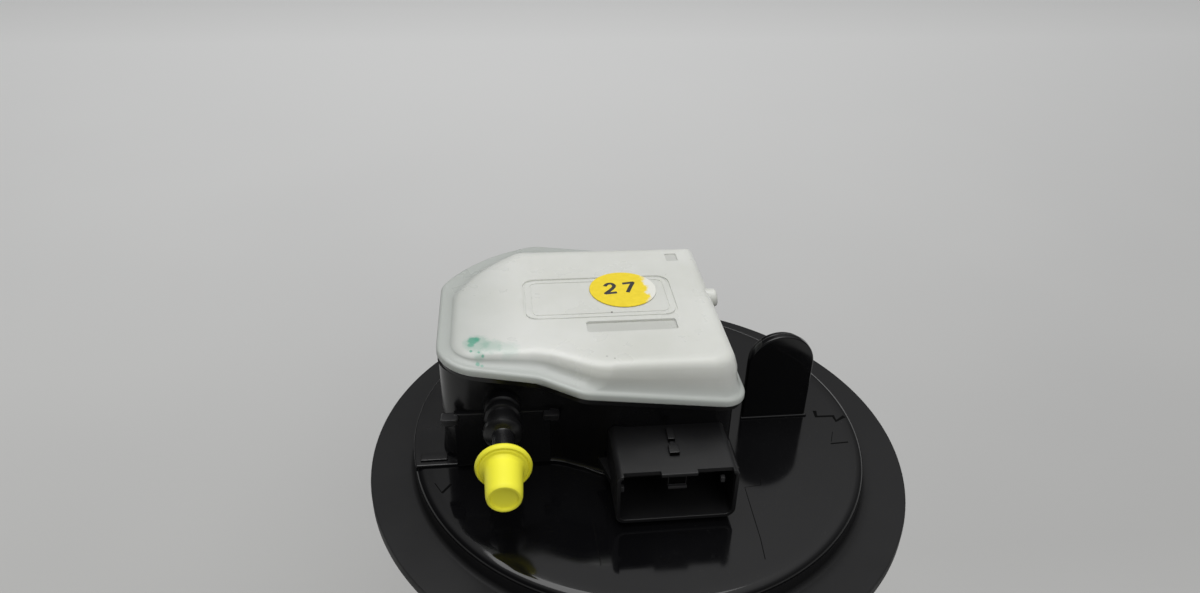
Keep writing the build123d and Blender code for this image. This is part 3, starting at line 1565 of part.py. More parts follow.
with BuildPart() as sender_housing:
    with BuildSketch(Plane.XZ.offset(-cup_flat_y)):
        with Locations(sender_pivot):
            RectangleRounded(2 * sender_half_width, 2 * sender_half_height, 2.0)
    extrude(amount=cup_flat_y - sender_front_y)
    # recess for the resistor card
    with BuildSketch(Plane.XZ.offset(-sender_front_y)):
        with Locations((sender_x, sender_z + card_rise)):
            Rectangle(card_width, card_height)
    extrude(amount=-(card_thickness - card_proud), mode=Mode.SUBTRACT)
    # pivot pin of the float arm, and its stops
    with BuildSketch(Plane.XZ.offset(-sender_front_y)):
        with Locations(sender_pivot):
            Circle(pivot_radius)
    extrude(amount=sender_front_y - hub_front_y)
    with BuildSketch(Plane.XZ.offset(-sender_front_y)):
        with Locations(sender_pivot):
            Circle(hub_radius)
    extrude(amount=hub_pad_height)
    # lead clip on the upper edge
    with BuildSketch(Plane.XY.offset(sender_z + sender_half_height)):
        with Locations((sender_x, cup_flat_y - lead_clip_size[1] / 2)):
            Rectangle(*lead_clip_size)
    extrude(amount=lead_clip_height)
write(sender_housing.part, "sender_housing")

with BuildPart() as resistor_card:
    with BuildSketch(Plane.XZ.offset(-sender_front_y - (card_thickness - card_proud))):
        with Locations((sender_x, sender_z + card_rise)):
            Rectangle(card_width, card_height)
    extrude(amount=card_thickness)
write(resistor_card.part, "resistor_card")

arm_angle = math.radians(arm_rest_angle_deg)
arm_dir = (math.cos(arm_angle), 0, math.sin(arm_angle))
carrier_angle = math.radians(52.5)
carrier_dir = (math.cos(carrier_angle), 0, math.sin(carrier_angle))
carrier_length = 15.0
carrier_width = 5.0
carrier_back_y = hub_back_y + 0.6
arm_start = 3.2
arm_root = Plane((sender_x, arm_y, sender_z), x_dir=(0, 1, 0), z_dir=arm_dir).offset(arm_start)

with BuildPart() as arm_hub:
    with BuildSketch(Plane.XZ.offset(-hub_back_y)):
        with Locations(sender_pivot):
            Circle(hub_radius)
    extrude(amount=hub_back_y - hub_front_y)
    # wiper carrier that reaches over the card
    with BuildSketch(Plane((sender_x, carrier_back_y, sender_z), x_dir=carrier_dir, z_dir=(0, -1, 0))):
        with Locations((carrier_length / 2, 0)):
            SlotOverall(carrier_length + carrier_width, carrier_width)
    extrude(amount=carrier_thickness)
    # lug that grips the arm wire
    with BuildSketch(Plane((sender_x, arm_y + 2.0, sender_z), x_dir=arm_dir, z_dir=(0, -1, 0))):
        with Locations((7.0, 0)):
            Rectangle(lug_length, lug_width)
    extrude(amount=lug_thickness)
    with BuildSketch(Plane.XZ.offset(-carrier_back_y)):
        with Locations(sender_pivot):
            Circle(pivot_radius + running_clearance)
    extrude(amount=carrier_back_y - hub_front_y, mode=Mode.SUBTRACT)
    with BuildSketch(arm_root):
        Circle(arm_wire_radius)
    extrude(amount=tall_enough, mode=Mode.SUBTRACT)
write(arm_hub.part, "arm_hub")

with BuildPart() as wiper_contact:
    with BuildSketch(Plane((sender_x, carrier_back_y, sender_z), x_dir=carrier_dir, z_dir=(0, -1, 0))):
        for track_reach in (9.5, 13.5):
            with Locations((track_reach, 0)):
                Rectangle(1.4, 3.6)
    extrude(amount=-0.5)
write(wiper_contact.part, "wiper_contact")

with BuildPart() as float_arm:
    with BuildLine(
        Plane((sender_x, arm_y, sender_z), x_dir=arm_dir, z_dir=(arm_dir[2], 0, -arm_dir[0]))
    ):
        FilletPolyline(
            (arm_start, 0),
            (arm_length, 0),
            (arm_length, float_length),
            radius=4.0,
        )
    with BuildSketch(arm_root):
        Circle(arm_wire_radius)
    sweep()
write(float_arm.part, "float_arm")

float_x = sender_x + arm_length * arm_dir[0]
float_z = sender_z + arm_length * arm_dir[2]
float_back_y = arm_y - 6.0
float_body_length = 27.6
float_clip_radius = 3.2
float_clip_thickness = 1.0
float_clip_slot = (1.4, 0.7)
float_clip_y = float_back_y - float_body_length - 0.3

with BuildPart() as level_float:
    with BuildSketch(Plane.XZ.offset(-float_back_y)):
        with Locations((float_x, float_z)):
            Circle(float_radius)
    extrude(amount=float_body_length)
    fillet(level_float.edges().filter_by(GeomType.CIRCLE), 1.5)
    with BuildSketch(Plane.XZ.offset(-float_back_y)):
        with Locations((float_x, float_z)):
            Circle(arm_wire_radius + running_clearance)
    extrude(amount=float_body_length, mode=Mode.SUBTRACT)
write(level_float.part, "level_float")

with BuildPart() as float_clip:
    with BuildSketch(Plane.XZ.offset(-float_clip_y)):
        with Locations((float_x, float_z)):
            Circle(float_clip_radius)
            Circle(arm_wire_radius, mode=Mode.SUBTRACT)
            with PolarLocations(float_clip_radius - 0.6, 3):
                Rectangle(*float_clip_slot, mode=Mode.SUBTRACT)
    extrude(amount=float_clip_thickness)
write(float_clip.part, "float_clip")

# ================================================================ hose and leads
hose_radius = 3.3
wire_radius = 1.1
wire_gap = 3.2
pump_plug_spot = (1.0, 15.0)
pump_plug_height = 11.0
pump_plug_size = (12.0, 7.0)
sender_lead_top_z = sender_z + sender_half_height + lead_clip_height


def bend_radii(points):
    """Largest bend at each corner of a route that leaves a tenth of each run straight."""
    radii = []
    for before, corner, after in zip(points, points[1:], points[2:]):
        run_in = Vector(*corner) - Vector(*before)
        run_out = Vector(*after) - Vector(*corner)
        half_turn = math.radians(run_in.get_angle(run_out)) / 2
        radii.append(0.45 * min(run_in.length, run_out.length) / math.tan(half_turn))
    return radii


def report_cord(name, solid, line, radius):
    """Print a cord's length, and its volume beside section times length."""
    length = sum(edge.length for edge in line.edges())
    print(name, "length", round(length, 1), "volume", round(solid.volume, 1))
    print(name, "section x length", round(math.pi * radius**2 * length, 1))


with BuildPart() as pump_plug:
    with BuildSketch(Plane.XY.offset(end_cap_top)):
        with Locations(pump_plug_spot):
            RectangleRounded(*pump_plug_size, 1.5)
    extrude(amount=pump_plug_height)
    fillet(pump_plug.faces().sort_by(Axis.Z)[-1].edges(), 0.8)
write(pump_plug.part, "pump_plug")

hose_route = [
    (feed_x, feed_riser_y, stub_bottom),
    (feed_x, feed_riser_y, -46.0),
    (-37.0, feed_riser_y, -62.0),
    (-24.0, feed_riser_y, spigot_height),
    (hose_barb_tip_x, feed_riser_y, spigot_height),
]
print("feed_hose bends", [round(r, 1) for r in bend_radii(hose_route)])

with BuildPart() as feed_hose:
    with BuildLine() as hose_line:
        FilletPolyline(*hose_route, radius=bend_radii(hose_route))
    with BuildSketch(Plane.XY.offset(stub_bottom)):
        with Locations((feed_x, feed_riser_y)):
            Circle(hose_radius)
    sweep()
report_cord("feed_hose", feed_hose.part, hose_line.line, hose_radius)
write(feed_hose.part, "feed_hose")


def lead_pair(route):
    """Two wires side by side along one route, each a round tube."""
    wires = []
    for side in (-0.5, 0.5):
        points = [(x + side * wire_gap, y, z) for x, y, z in route]
        with BuildPart() as wire:
            with BuildLine() as wire_line:
                FilletPolyline(*points, radius=bend_radii(points))
            with BuildSketch(Plane.XY.offset(points[0][2])):
                with Locations(points[0][:2]):
                    Circle(wire_radius)
            sweep()
        report_cord("lead", wire.part, wire_line.line, wire_radius)
        wires.append(wire.part)
    return wires


pump_lead_route = [
    (8.0, pin_leg_y, plug_bottom),
    (8.0, pin_leg_y, -30.0),
    (4.0, -4.0, -46.0),
    (0.0, 10.0, -55.0),
    (1.0, 15.0, -66.0),
    (pump_plug_spot[0], pump_plug_spot[1], end_cap_top + pump_plug_height),
]
sender_lead_y = cup_flat_y - 3.5
sender_lead_route = [
    (-6.0, pin_leg_y, plug_bottom),
    (-6.0, pin_leg_y, -30.0),
    (sender_x, -36.0, -49.0),
    (sender_x, sender_lead_y, -69.0),
    (sender_x, sender_lead_y, sender_lead_top_z),
]
print("pump_leads bends", [round(r, 1) for r in bend_radii(pump_lead_route)])
print("sender_leads bends", [round(r, 1) for r in bend_radii(sender_lead_route)])

with BuildPart() as pump_leads:
    add(lead_pair(pump_lead_route))
write(pump_leads.part, "pump_leads")

with BuildPart() as sender_leads:
    add(lead_pair(sender_lead_route))
write(sender_leads.part, "sender_leads")
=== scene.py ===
"""Fuel pump module: a black flange with a milky vapour separator on top, and a sprung
reservoir with pump and level sender below.

The scene is in metres, in the frame's own axes. Sizes are written in mm and turned into metres
with MM."""

import bmesh
import bpy
import json
import math
from mathutils import Matrix, Vector


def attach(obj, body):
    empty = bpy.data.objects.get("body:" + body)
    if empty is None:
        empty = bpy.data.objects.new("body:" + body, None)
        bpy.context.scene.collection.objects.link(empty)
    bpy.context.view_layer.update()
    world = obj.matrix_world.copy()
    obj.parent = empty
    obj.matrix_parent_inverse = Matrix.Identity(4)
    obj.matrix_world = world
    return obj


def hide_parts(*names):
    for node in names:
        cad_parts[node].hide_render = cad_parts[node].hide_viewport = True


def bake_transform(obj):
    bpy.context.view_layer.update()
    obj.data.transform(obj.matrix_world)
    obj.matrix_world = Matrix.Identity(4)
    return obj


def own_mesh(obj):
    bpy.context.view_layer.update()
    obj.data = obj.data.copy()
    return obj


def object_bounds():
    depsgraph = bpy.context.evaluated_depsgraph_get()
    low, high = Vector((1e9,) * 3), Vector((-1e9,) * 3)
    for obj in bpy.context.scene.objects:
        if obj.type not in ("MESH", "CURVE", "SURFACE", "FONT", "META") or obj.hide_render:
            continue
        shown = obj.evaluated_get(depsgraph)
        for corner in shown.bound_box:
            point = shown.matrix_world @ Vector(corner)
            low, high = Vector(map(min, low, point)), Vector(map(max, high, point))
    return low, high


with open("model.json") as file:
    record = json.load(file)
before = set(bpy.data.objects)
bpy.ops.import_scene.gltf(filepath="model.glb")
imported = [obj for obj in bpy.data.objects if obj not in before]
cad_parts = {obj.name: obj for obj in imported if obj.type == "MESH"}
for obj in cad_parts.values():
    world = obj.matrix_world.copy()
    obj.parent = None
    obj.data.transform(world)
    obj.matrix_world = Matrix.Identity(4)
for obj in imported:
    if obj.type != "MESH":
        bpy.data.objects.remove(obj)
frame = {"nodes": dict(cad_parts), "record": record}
cad_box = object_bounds()

MM = 0.001

# -------- sizes, in mm
TOUCH = 1e-6  # in metres: closer than this is the same place
DISC_TOP = 11.6
RODS = {"right": (38.97, 18.17), "left": (-38.97, -18.17)}
SPRING_FOOT, SPRING_TOP = -78.0, -10.0
# marks on the disc, in plan
ARROW = [(60.0, 2.7), (59.6, -0.3), (65.3, -0.5), (65.4, -3.1), (69.0, -0.9)]
WITNESS = [(33.0, -28.1), (32.7, -30.3), (27.6, -30.8), (27.2, -42.0), (26.9, -51.0), (26.2, -58.3)]
FEED_X, FEED_Z = -43.0, 32.4
REAR_STEPS = 14
REAR_LEFT_CUT = 2.2
CORNER_SEGMENTS = (10, 8, 8, 10, 6)
# the separator's plans: the front corners as X, Y and radius, the corner behind them on the right,
# and the radius of the rear arc
WALL = (
    [(-60.9, -14.0, 9.0), (-27.0, -14.0, 14.0), (-9.5, -22.9, 14.0), (25.2, -22.9, 7.0)],
    (25.2, 57.5, 4.0),
    65.5,
)
LIP = (
    [(-61.3, -16.6, 12.0), (-32.5, -19.6, 6.0), (-20.5, -26.0, 8.0), (27.5, -26.4, 8.0)],
    (27.5, 60.0, 3.0),
    67.2,
)
CROWN = (
    [(-56.0, -13.2, 7.5), (-31.5, -13.2, 13.0), (-15.0, -22.2, 13.0), (24.2, -22.2, 6.5)],
    (24.2, 47.0, 1.6),
    59.3,
)
LIP_SLOPE = 0.12
LIP_TOP = 43.3
CROWN_TOP = 52.0
LABEL_SLOT = ((-17.3, -5.0, 51.3), (9.8, 0.8, 53))
CORNER_MARK = ((13.3, 36.2, 51.6), (17.2, 41.3, 53))
PAD_FRONT, STEP_FRONT = -14.4, -23.3  # the base plate's front, left and right of the S-step
DOT_PLACE = (-3.9, 18.6, 51.98)
INK_LEVEL = 52.22
SOCKET_X, SOCKET_HALF = 4.2, 17.0
SOCKET_FRONT, SOCKET_LOW, SOCKET_HIGH = -43.6, 13.2, 30.5
VENT_X, VENT_HEAD, VENT_FOOT = 45.3, 32.4, 11.4
# hose and leads, each from the flange down to the reservoir
HOSE_ROUTE = [(-43.0, 4, -16), (-43.0, 4, -46), (-37, 4, -62), (-24, 4, -74), (-8, 4, -74)]
PUMP_LEADS = [(8, -18.6, -14), (8, -18.6, -30), (4, -4, -46), (0, 10, -55), (1, 15, -66), (1, 15, -77)]
SENDER_LEADS = [(-6, -18.6, -14), (-6, -18.6, -30), (-8, -36, -49), (-8, -49.5, -69), (-8, -49.5, -109)]
WIRE_GAP = 3.2


# -------- bench: picking and shaping
def put_down():
    """Nothing is selected and no mesh is open."""
    if bpy.context.object and bpy.context.object.mode != "OBJECT":
        bpy.ops.object.mode_set(mode="OBJECT")
    bpy.ops.object.select_all(action="DESELECT")


def pick_up(*pieces):
    """Only these are selected, and the first is the one worked on."""
    put_down()
    for piece in pieces:
        piece.select_set(True)
    bpy.context.view_layer.objects.active = pieces[0]


def open_mesh(piece, by="FACE"):
    pick_up(piece)
    bpy.ops.object.mode_set(mode="EDIT")
    bpy.ops.mesh.select_mode(type=by)
    select_all("DESELECT")


def close_mesh():
    bpy.ops.object.mode_set(mode="OBJECT")


def select_all(what="SELECT"):
    bpy.ops.mesh.select_all(action=what)


def draw_out(*step):
    """Extrudes what is selected by a step, in mm."""
    bpy.ops.mesh.extrude_region_move(
        TRANSFORM_OT_translate={"value": tuple(part * MM for part in step)})


def shift(*step):
    """Moves what is selected by a step, in mm."""
    bpy.ops.transform.translate(value=tuple(part * MM for part in step))


def mark(piece, kind, wanted):
    """Selects the open mesh's verts, edges or faces for which wanted() is true."""
    mesh = bmesh.from_edit_mesh(piece.data)
    for item in getattr(mesh, kind):
        item.select_set(False)
    for item in getattr(mesh, kind):
        if wanted(item):
            item.select_set(True)
    mesh.select_flush_mode()
    bmesh.update_edit_mesh(piece.data)


def name_it(name):
    piece = bpy.context.object
    piece.name = name
    piece.data.name = name
    return piece


def settle(piece):
    """The object goes to the origin, and its place goes into its mesh."""
    pick_up(piece)
    bpy.ops.object.transform_apply(location=True, rotation=True, scale=True)
    return piece


def modify(piece, kind, **settings):
    """Adds one modifier and applies it."""
    pick_up(piece)
    modifier = piece.modifiers.new(kind.lower(), kind)
    for key, value in settings.items():
        setattr(modifier, key, value)
    bpy.ops.object.modifier_apply(modifier=modifier.name)
    return piece


def soften(piece, width, segments=2, angle=32.0):
    """Rounds every edge sharper than the angle, as a mould's edges are."""
    return modify(
        piece,
        "BEVEL",
        width=width * MM,
        segments=segments,
        limit_method="ANGLE",
        angle_limit=math.radians(angle),
        use_clamp_overlap=True,
        harden_normals=False,
    )


def smooth(piece, angle=34.0):
    pick_up(piece)
    bpy.ops.object.shade_smooth_by_angle(angle=math.radians(angle))
    modify(piece, "WEIGHTED_NORMAL", keep_sharp=True, weight=50)
    return piece


def outward(piece):
    """Closes doubled corners and turns every face outwards."""
    open_mesh(piece, "VERT")
    select_all()
    bpy.ops.mesh.remove_doubles(threshold=0.00001)
    bpy.ops.mesh.normals_make_consistent(inside=False)
    close_mesh()
    return piece


def carve(piece, tool, operation="DIFFERENCE"):
    """Cuts a tool out of a piece, or welds it on."""
    modify(piece, "BOOLEAN", object=tool, operation=operation, solver="EXACT")
    bpy.data.objects.remove(tool)
    return piece


def join(name, *pieces):
    pick_up(*pieces)
    bpy.ops.object.join()
    return name_it(name)


def block(name, low, high):
    """A squared block between two corners, in mm."""
    middle = [(a + b) / 2 * MM for a, b in zip(low, high)]
    size = [(b - a) * MM for a, b in zip(low, high)]
    put_down()
    bpy.ops.mesh.primitive_cube_add(size=1.0, location=middle)
    bpy.context.object.scale = size
    return settle(name_it(name))


def turned(name, foot, towards, stations, segments=96):
    """A turned part. Each station is (distance along the axis, radius), in mm.

    The first ring is drawn out from station to station. A radius of 0 closes an end, and a
    last station equal to the first closes a hollow section on itself."""
    hollow = stations[0] == stations[-1]
    here, width = stations[0][0], max(stations[0][1], 0.01)
    put_down()
    bpy.ops.mesh.primitive_circle_add(
        vertices=segments,
        radius=width * MM,
        fill_type="NOTHING" if hollow else "NGON",
        location=(0, 0, here * MM),
    )
    piece = settle(name_it(name))
    open_mesh(piece, "EDGE" if hollow else "FACE")
    select_all()
    for along, radius in stations[1:]:
        draw_out(0, 0, along - here)
        size = max(radius, 0.01) / width
        bpy.ops.transform.resize(value=(size, size, 1), center_override=(0, 0, along * MM))
        here, width = along, max(radius, 0.01)
    close_mesh()
    outward(piece)
    piece.rotation_mode = "QUATERNION"
    piece.rotation_quaternion = Vector((0, 0, 1)).rotation_difference(Vector(towards))
    piece.location = Vector(foot) * MM
    return settle(piece)


# -------- camera, floor and light
put_down()
bpy.ops.object.camera_add()
camera = name_it("camera")
camera.data.lens = 26.01
camera.data.sensor_width = 36.0
camera.data.sensor_fit = "HORIZONTAL"
camera.data.clip_start = 0.01
camera.data.clip_end = 60.0
across = Vector((0.99383, -0.10871, 0.021846))
upward = Vector((0.037715, 0.516667, 0.85536))
behind = Vector((-0.10427, -0.84923, 0.51757))
stand = Matrix((across, upward, behind)).transposed().to_4x4()
stand.translation = Vector((-39.83, -215.50, 192.38)) * MM
camera.matrix_world = stand
bpy.context.scene.camera = camera
bpy.context.scene.view_settings.view_transform = "Standard"

put_down()
bpy.ops.mesh.primitive_plane_add(size=30.0, location=(0, 5.0, cad_box[0][2]))
floor = settle(name_it("floor"))

world = bpy.data.worlds.new("studio")
bpy.context.scene.world = world
world.use_nodes = True


def lamp(name, place, aim, size, power):
    put_down()
    bpy.ops.object.light_add(type="AREA", location=place)
    light = name_it(name)
    light.data.shape = "RECTANGLE"
    light.data.size = size[0]
    light.data.size_y = size[1]
    light.data.energy = power
    light.rotation_mode = "QUATERNION"
    light.rotation_quaternion = (Vector(aim) - Vector(place)).to_track_quat("-Z", "Y")
    return light


lamp("overhead_lamp", (-0.2, 0.15, 1.4), (0, 0, 0), (1.3, 1.0), 11.0)
front_lamp = lamp("front_lamp", (0.4, -1.0, 1.1), (0, 0, 0), (0.7, 0.7), 4.0)
front_lamp.visible_glossy = False


# -------- finishes
def new_finish(name):
    """A material with a shader and object coordinates ready for its own pattern."""
    finish = bpy.data.materials.new(name)
    finish.use_nodes = True
    nodes = finish.node_tree.nodes
    shader = nodes["Principled BSDF"]
    place = nodes.new("ShaderNodeTexCoord")
    return finish, finish.node_tree, shader, place.outputs["Object"]


def noise(tree, place, scale, detail=3.0, roughness=0.55, stretch=None):
    """Noise over the piece's own coordinates, with its scale in cells per metre."""
    if stretch:
        mapping = tree.nodes.new("ShaderNodeMapping")
        mapping.inputs["Scale"].default_value = stretch
        tree.links.new(place, mapping.inputs["Vector"])
        place = mapping.outputs["Vector"]
    texture = tree.nodes.new("ShaderNodeTexNoise")
    texture.inputs["Scale"].default_value = scale
    texture.inputs["Detail"].default_value = detail
    texture.inputs["Roughness"].default_value = roughness
    tree.links.new(place, texture.inputs["Vector"])
    return texture.outputs["Fac"]


def ramp(tree, value, low, high, at=(0.0, 1.0)):
    """Maps a value between two places to two greys or two colours."""
    node = tree.nodes.new("ShaderNodeMapRange")
    grey = isinstance(low, (int, float))
    settings = {"From Min": at[0], "From Max": at[1]}
    if grey:
        settings.update({"To Min": low, "To Max": high})
    for socket, number in settings.items():
        node.inputs[socket].default_value = number
    tree.links.new(value, node.inputs["Value"])
    share = node.outputs["Result"]
    return share if grey else blend_colours(tree, share, low, high)


def split_axes(tree, place):
    node = tree.nodes.new("ShaderNodeSeparateXYZ")
    tree.links.new(place, node.inputs["Vector"])
    return [node.outputs[axis] for axis in "XYZ"]


def distance_from(tree, place, centre, kept_axes):
    """Distance from a centre given in mm, measured only along the axes that are kept."""
    found = place
    centre = tuple(part * MM for part in centre)
    for operation, value in (("MULTIPLY", kept_axes), ("DISTANCE", centre)):
        node = tree.nodes.new("ShaderNodeVectorMath")
        node.operation = operation
        node.inputs[1].default_value = value
        tree.links.new(found, node.inputs[0])
        found = node.outputs["Value" if operation == "DISTANCE" else "Vector"]
    return found


def arithmetic(tree, kind, first, second):
    node = tree.nodes.new("ShaderNodeMath")
    node.operation = kind
    for socket, value in zip(node.inputs, (first, second)):
        if isinstance(value, (int, float)):
            socket.default_value = value
        else:
            tree.links.new(value, socket)
    return node.outputs["Value"]


def blend_colours(tree, factor, first, second):
    node = tree.nodes.new("ShaderNodeMix")
    node.data_type = "RGBA"
    if isinstance(factor, (int, float)):
        node.inputs["Factor"].default_value = factor
    else:
        tree.links.new(factor, node.inputs["Factor"])
    for socket, value in zip((node.inputs[6], node.inputs[7]), (first, second)):
        if isinstance(value, (tuple, list)):
            socket.default_value = (*value, 1.0)
        else:
            tree.links.new(value, socket)
    return node.outputs[2]


def relief(tree, shader, height, strength, depth, edge=0.0):
    """Fine relief; with an edge, in mm, the corners also catch light as if a little rounded."""
    bump = tree.nodes.new("ShaderNodeBump")
    if edge:
        rounded = tree.nodes.new("ShaderNodeBevel")
        rounded.samples = 4
        rounded.inputs["Radius"].default_value = edge * MM
        tree.links.new(rounded.outputs["Normal"], bump.inputs["Normal"])
    bump.inputs["Strength"].default_value = strength
    bump.inputs["Distance"].default_value = depth * MM
    tree.links.new(height, bump.inputs["Height"])
    tree.links.new(bump.outputs["Normal"], shader.inputs["Normal"])


def light_room():
    """The room is bright overhead, and darker towards the horizon and behind on the left."""
    tree = world.node_tree
    direction = tree.nodes.new("ShaderNodeTexCoord").outputs["Generated"]
    x, _, z = split_axes(tree, direction)
    ceiling = ramp(tree, z, 0.0, 0.55, (0.55, 1.0))
    walls = ramp(tree, z, 0.1, 0.35, (0.25, 0.7))
    side = ramp(tree, x, 0.3, 1.0, (-0.12, 0.02))
    glow = arithmetic(tree, "ADD", arithmetic(tree, "MULTIPLY", walls, side), ceiling)
    tree.links.new(glow, tree.nodes["Background"].inputs["Color"])
    tree.nodes["Background"].inputs["Strength"].default_value = 1.0


light_room()


def moulded(
    name, dark, light, gloss, grain=900.0, grain_depth=0.02,
    dust=0.0, cloud=18.0, edge=0.0, specular=0.5,
):
    """Moulded plastic: a slow shift of colour, fine grain, and dust specks if any lie on it."""
    finish, tree, shader, place = new_finish(name)
    shader.inputs["Specular IOR Level"].default_value = specular
    colour = ramp(tree, noise(tree, place, cloud), dark, light, (0.3, 0.7))
    if dust:
        specks = noise(tree, place, 2600.0, detail=1.0)
        patches = noise(tree, place, 30.0)
        specks = ramp(tree, specks, 0.0, 1.0, (0.74, 0.79))
        patches = ramp(tree, patches, 0.0, 1.0, (0.45, 0.7))
        amount = arithmetic(tree, "MULTIPLY", arithmetic(tree, "MULTIPLY", specks, patches), dust)
        colour = blend_colours(tree, amount, colour, (0.32, 0.32, 0.31))
    tree.links.new(colour, shader.inputs["Base Color"])
    sheen = ramp(tree, noise(tree, place, 60.0, detail=5.0), gloss[0], gloss[1], (0.35, 0.65))
    tree.links.new(sheen, shader.inputs["Roughness"])
    relief(tree, shader, noise(tree, place, grain, detail=2.0), 0.35, grain_depth, edge)
    return finish


def metal(name, colour, shade, gloss=(0.25, 0.4), along=(1.0, 1.0, 14.0)):
    """Drawn or plated metal: fine lines along the draw, and a slow change of shade."""
    finish, tree, shader, place = new_finish(name)
    shader.inputs["Metallic"].default_value = 1.0
    tone = ramp(tree, noise(tree, place, 40.0, detail=4.0), shade, colour, (0.3, 0.7))
    tree.links.new(tone, shader.inputs["Base Color"])
    lines = noise(tree, place, 700.0, detail=3.0, stretch=along)
    tree.links.new(ramp(tree, lines, gloss[0], gloss[1], (0.3, 0.7)), shader.inputs["Roughness"])
    relief(tree, shader, lines, 0.25, 0.01, 0.2)
    return finish


polished_black = moulded(
    "polished_black", (0.0025, 0.0025, 0.003), (0.0045, 0.0045, 0.005), (0.06, 0.13), 500.0, 0.003, dust=0.22)
rim_black = moulded(
    "rim_black", (0.009, 0.009, 0.0095), (0.013, 0.013, 0.0135), (0.5, 0.6), 1500.0, specular=0.25)
socket_black = moulded(
    "socket_black", (0.007, 0.007, 0.0075), (0.010, 0.010, 0.0105), (0.34, 0.44), 1800.0, 0.012)
housing_black = moulded(
    "housing_black", (0.003, 0.003, 0.0035), (0.005, 0.005, 0.0055), (0.2, 0.28), 900.0, 0.006)
nipple_black = moulded(
    "nipple_black", (0.006, 0.006, 0.0065), (0.009, 0.009, 0.0095), (0.26, 0.34), 1500.0, 0.01)
# near-black matt finish: the disc marks, and painted shade on the latch and key fronts
mark_and_shade_black = moulded(
    "mark_and_shade_black", (0.001, 0.001, 0.001), (0.002, 0.002, 0.002), (0.8, 0.9), 1800.0, 0.01, specular=0.1)
# plain black plastic; on the housing's ears its lighter black is a painted highlight
plain_black_and_highlight = moulded(
    "plain_black_and_highlight", (0.018, 0.018, 0.019), (0.028, 0.028, 0.029), (0.35, 0.5), 1200.0, edge=0.3)
natural_cup = moulded(
    "natural_cup", (0.60, 0.60, 0.565), (0.70, 0.70, 0.665), (0.32, 0.42), edge=0.4)
lemon_yellow = moulded(
    "lemon_yellow", (0.96, 0.91, 0.05), (1.0, 0.95, 0.06), (0.45, 0.55), 1400.0, cloud=60.0, specular=0.3)
ink = moulded("ink", (0.02, 0.02, 0.022), (0.05, 0.05, 0.05), (0.4, 0.5))
drawn_steel = metal("drawn_steel", (0.62, 0.63, 0.65), (0.5, 0.51, 0.53))
spring_wire = metal("spring_wire", (0.5, 0.5, 0.52), (0.34, 0.34, 0.36), (0.3, 0.45), (1.0, 1.0, 3.0))


def spot_of_dye(tree, place, centre, radius, ragged):
    """1 inside a ragged spot round a centre in plan, and 0 outside it."""
    tatters = noise(tree, place, 520.0, detail=5.0, roughness=0.75)
    reach = distance_from(tree, place, (*centre, 0), (1, 1, 0))
    edge = arithmetic(tree, "ADD", reach, arithmetic(tree, "MULTIPLY", tatters, ragged * MM))
    low, high = (radius + ragged * 0.35) * MM, (radius + ragged * 0.75) * MM
    return ramp(tree, edge, 1.0, 0.0, (low, high))


def cover_finish(name="milky_cover", shade=1.0):
    """Milky unpigmented plastic: cloudy, with painted shade greying the lip, and a smudge of green dye."""
    finish, tree, shader, place = new_finish(name)
    x, _, z = split_axes(tree, place)
    dark = tuple(part * shade for part in (0.66, 0.67, 0.625))
    light = tuple(part * shade for part in (0.76, 0.77, 0.735))
    colour = ramp(tree, noise(tree, place, 26.0, detail=4.0), dark, light, (0.3, 0.7))
    above_lip = arithmetic(tree, "ADD", z, arithmetic(tree, "MULTIPLY", x, LIP_SLOPE))
    # painted shade: the lip's grey stands in for the shade that falls on it, not a grey in the plastic
    lip_painted_shade = ramp(tree, above_lip, 1.0, 0.0, (43.6 * MM, 47.5 * MM))
    colour = blend_colours(tree, arithmetic(tree, "MULTIPLY", lip_painted_shade, 0.7), colour, (0.36, 0.39, 0.37))
    green = (0.075, 0.36, 0.245)
    for centre, radius, ragged, strength in (
        ((-50.5, -6.8), 1.5, 1.8, 0.8),
        ((-49.4, -6.3), 0.9, 1.2, 0.6),
        ((-51.2, -9.0), 0.8, 1.4, 0.7),
        ((-49.6, -8.2), 3.4, 4.0, 0.3),
        ((-45.2, -9.8), 2.4, 5.0, 0.28),
        ((-40.5, -11.2), 2.4, 5.0, 0.16),
        ((-51.1, -11.7), 0.4, 0.7, 0.8),
        ((-48.9, -12.4), 0.3, 0.6, 0.7),
        ((-47.8, -13.5), 0.35, 0.6, 0.75),
        ((-49.3, -15.2), 0.5, 0.9, 0.7),
        ((-48.1, -15.7), 0.35, 0.8, 0.6),
        ((-48.8, -13.0), 1.4, 2.4, 0.22),
    ):
        spot = spot_of_dye(tree, place, centre, radius, ragged)
        colour = blend_colours(tree, arithmetic(tree, "MULTIPLY", spot, strength), colour, green)
    for centre, radius, strength in (
        ((-8.9, 5.8), 0.3, 0.85),
        ((-13.1, -17.5), 0.35, 0.3),
        ((-11.0, -18.6), 0.3, 0.4),
    ):
        speck = spot_of_dye(tree, place, centre, radius, 0.3)
        amount = arithmetic(tree, "MULTIPLY", speck, strength)
        colour = blend_colours(tree, amount, colour, (0.1, 0.09, 0.08))
    tree.links.new(colour, shader.inputs["Base Color"])
    shader.inputs["Subsurface Weight"].default_value = 0.3
    shader.inputs["Subsurface Radius"].default_value = (1.0, 1.0, 0.9)
    shader.inputs["Subsurface Scale"].default_value = 2.5 * MM
    gloss = ramp(tree, noise(tree, place, 90.0, detail=4.0), 0.26, 0.38, (0.35, 0.65))
    tree.links.new(gloss, shader.inputs["Roughness"])
    relief(tree, shader, noise(tree, place, 260.0, detail=3.0), 0.2, 0.02)
    return finish


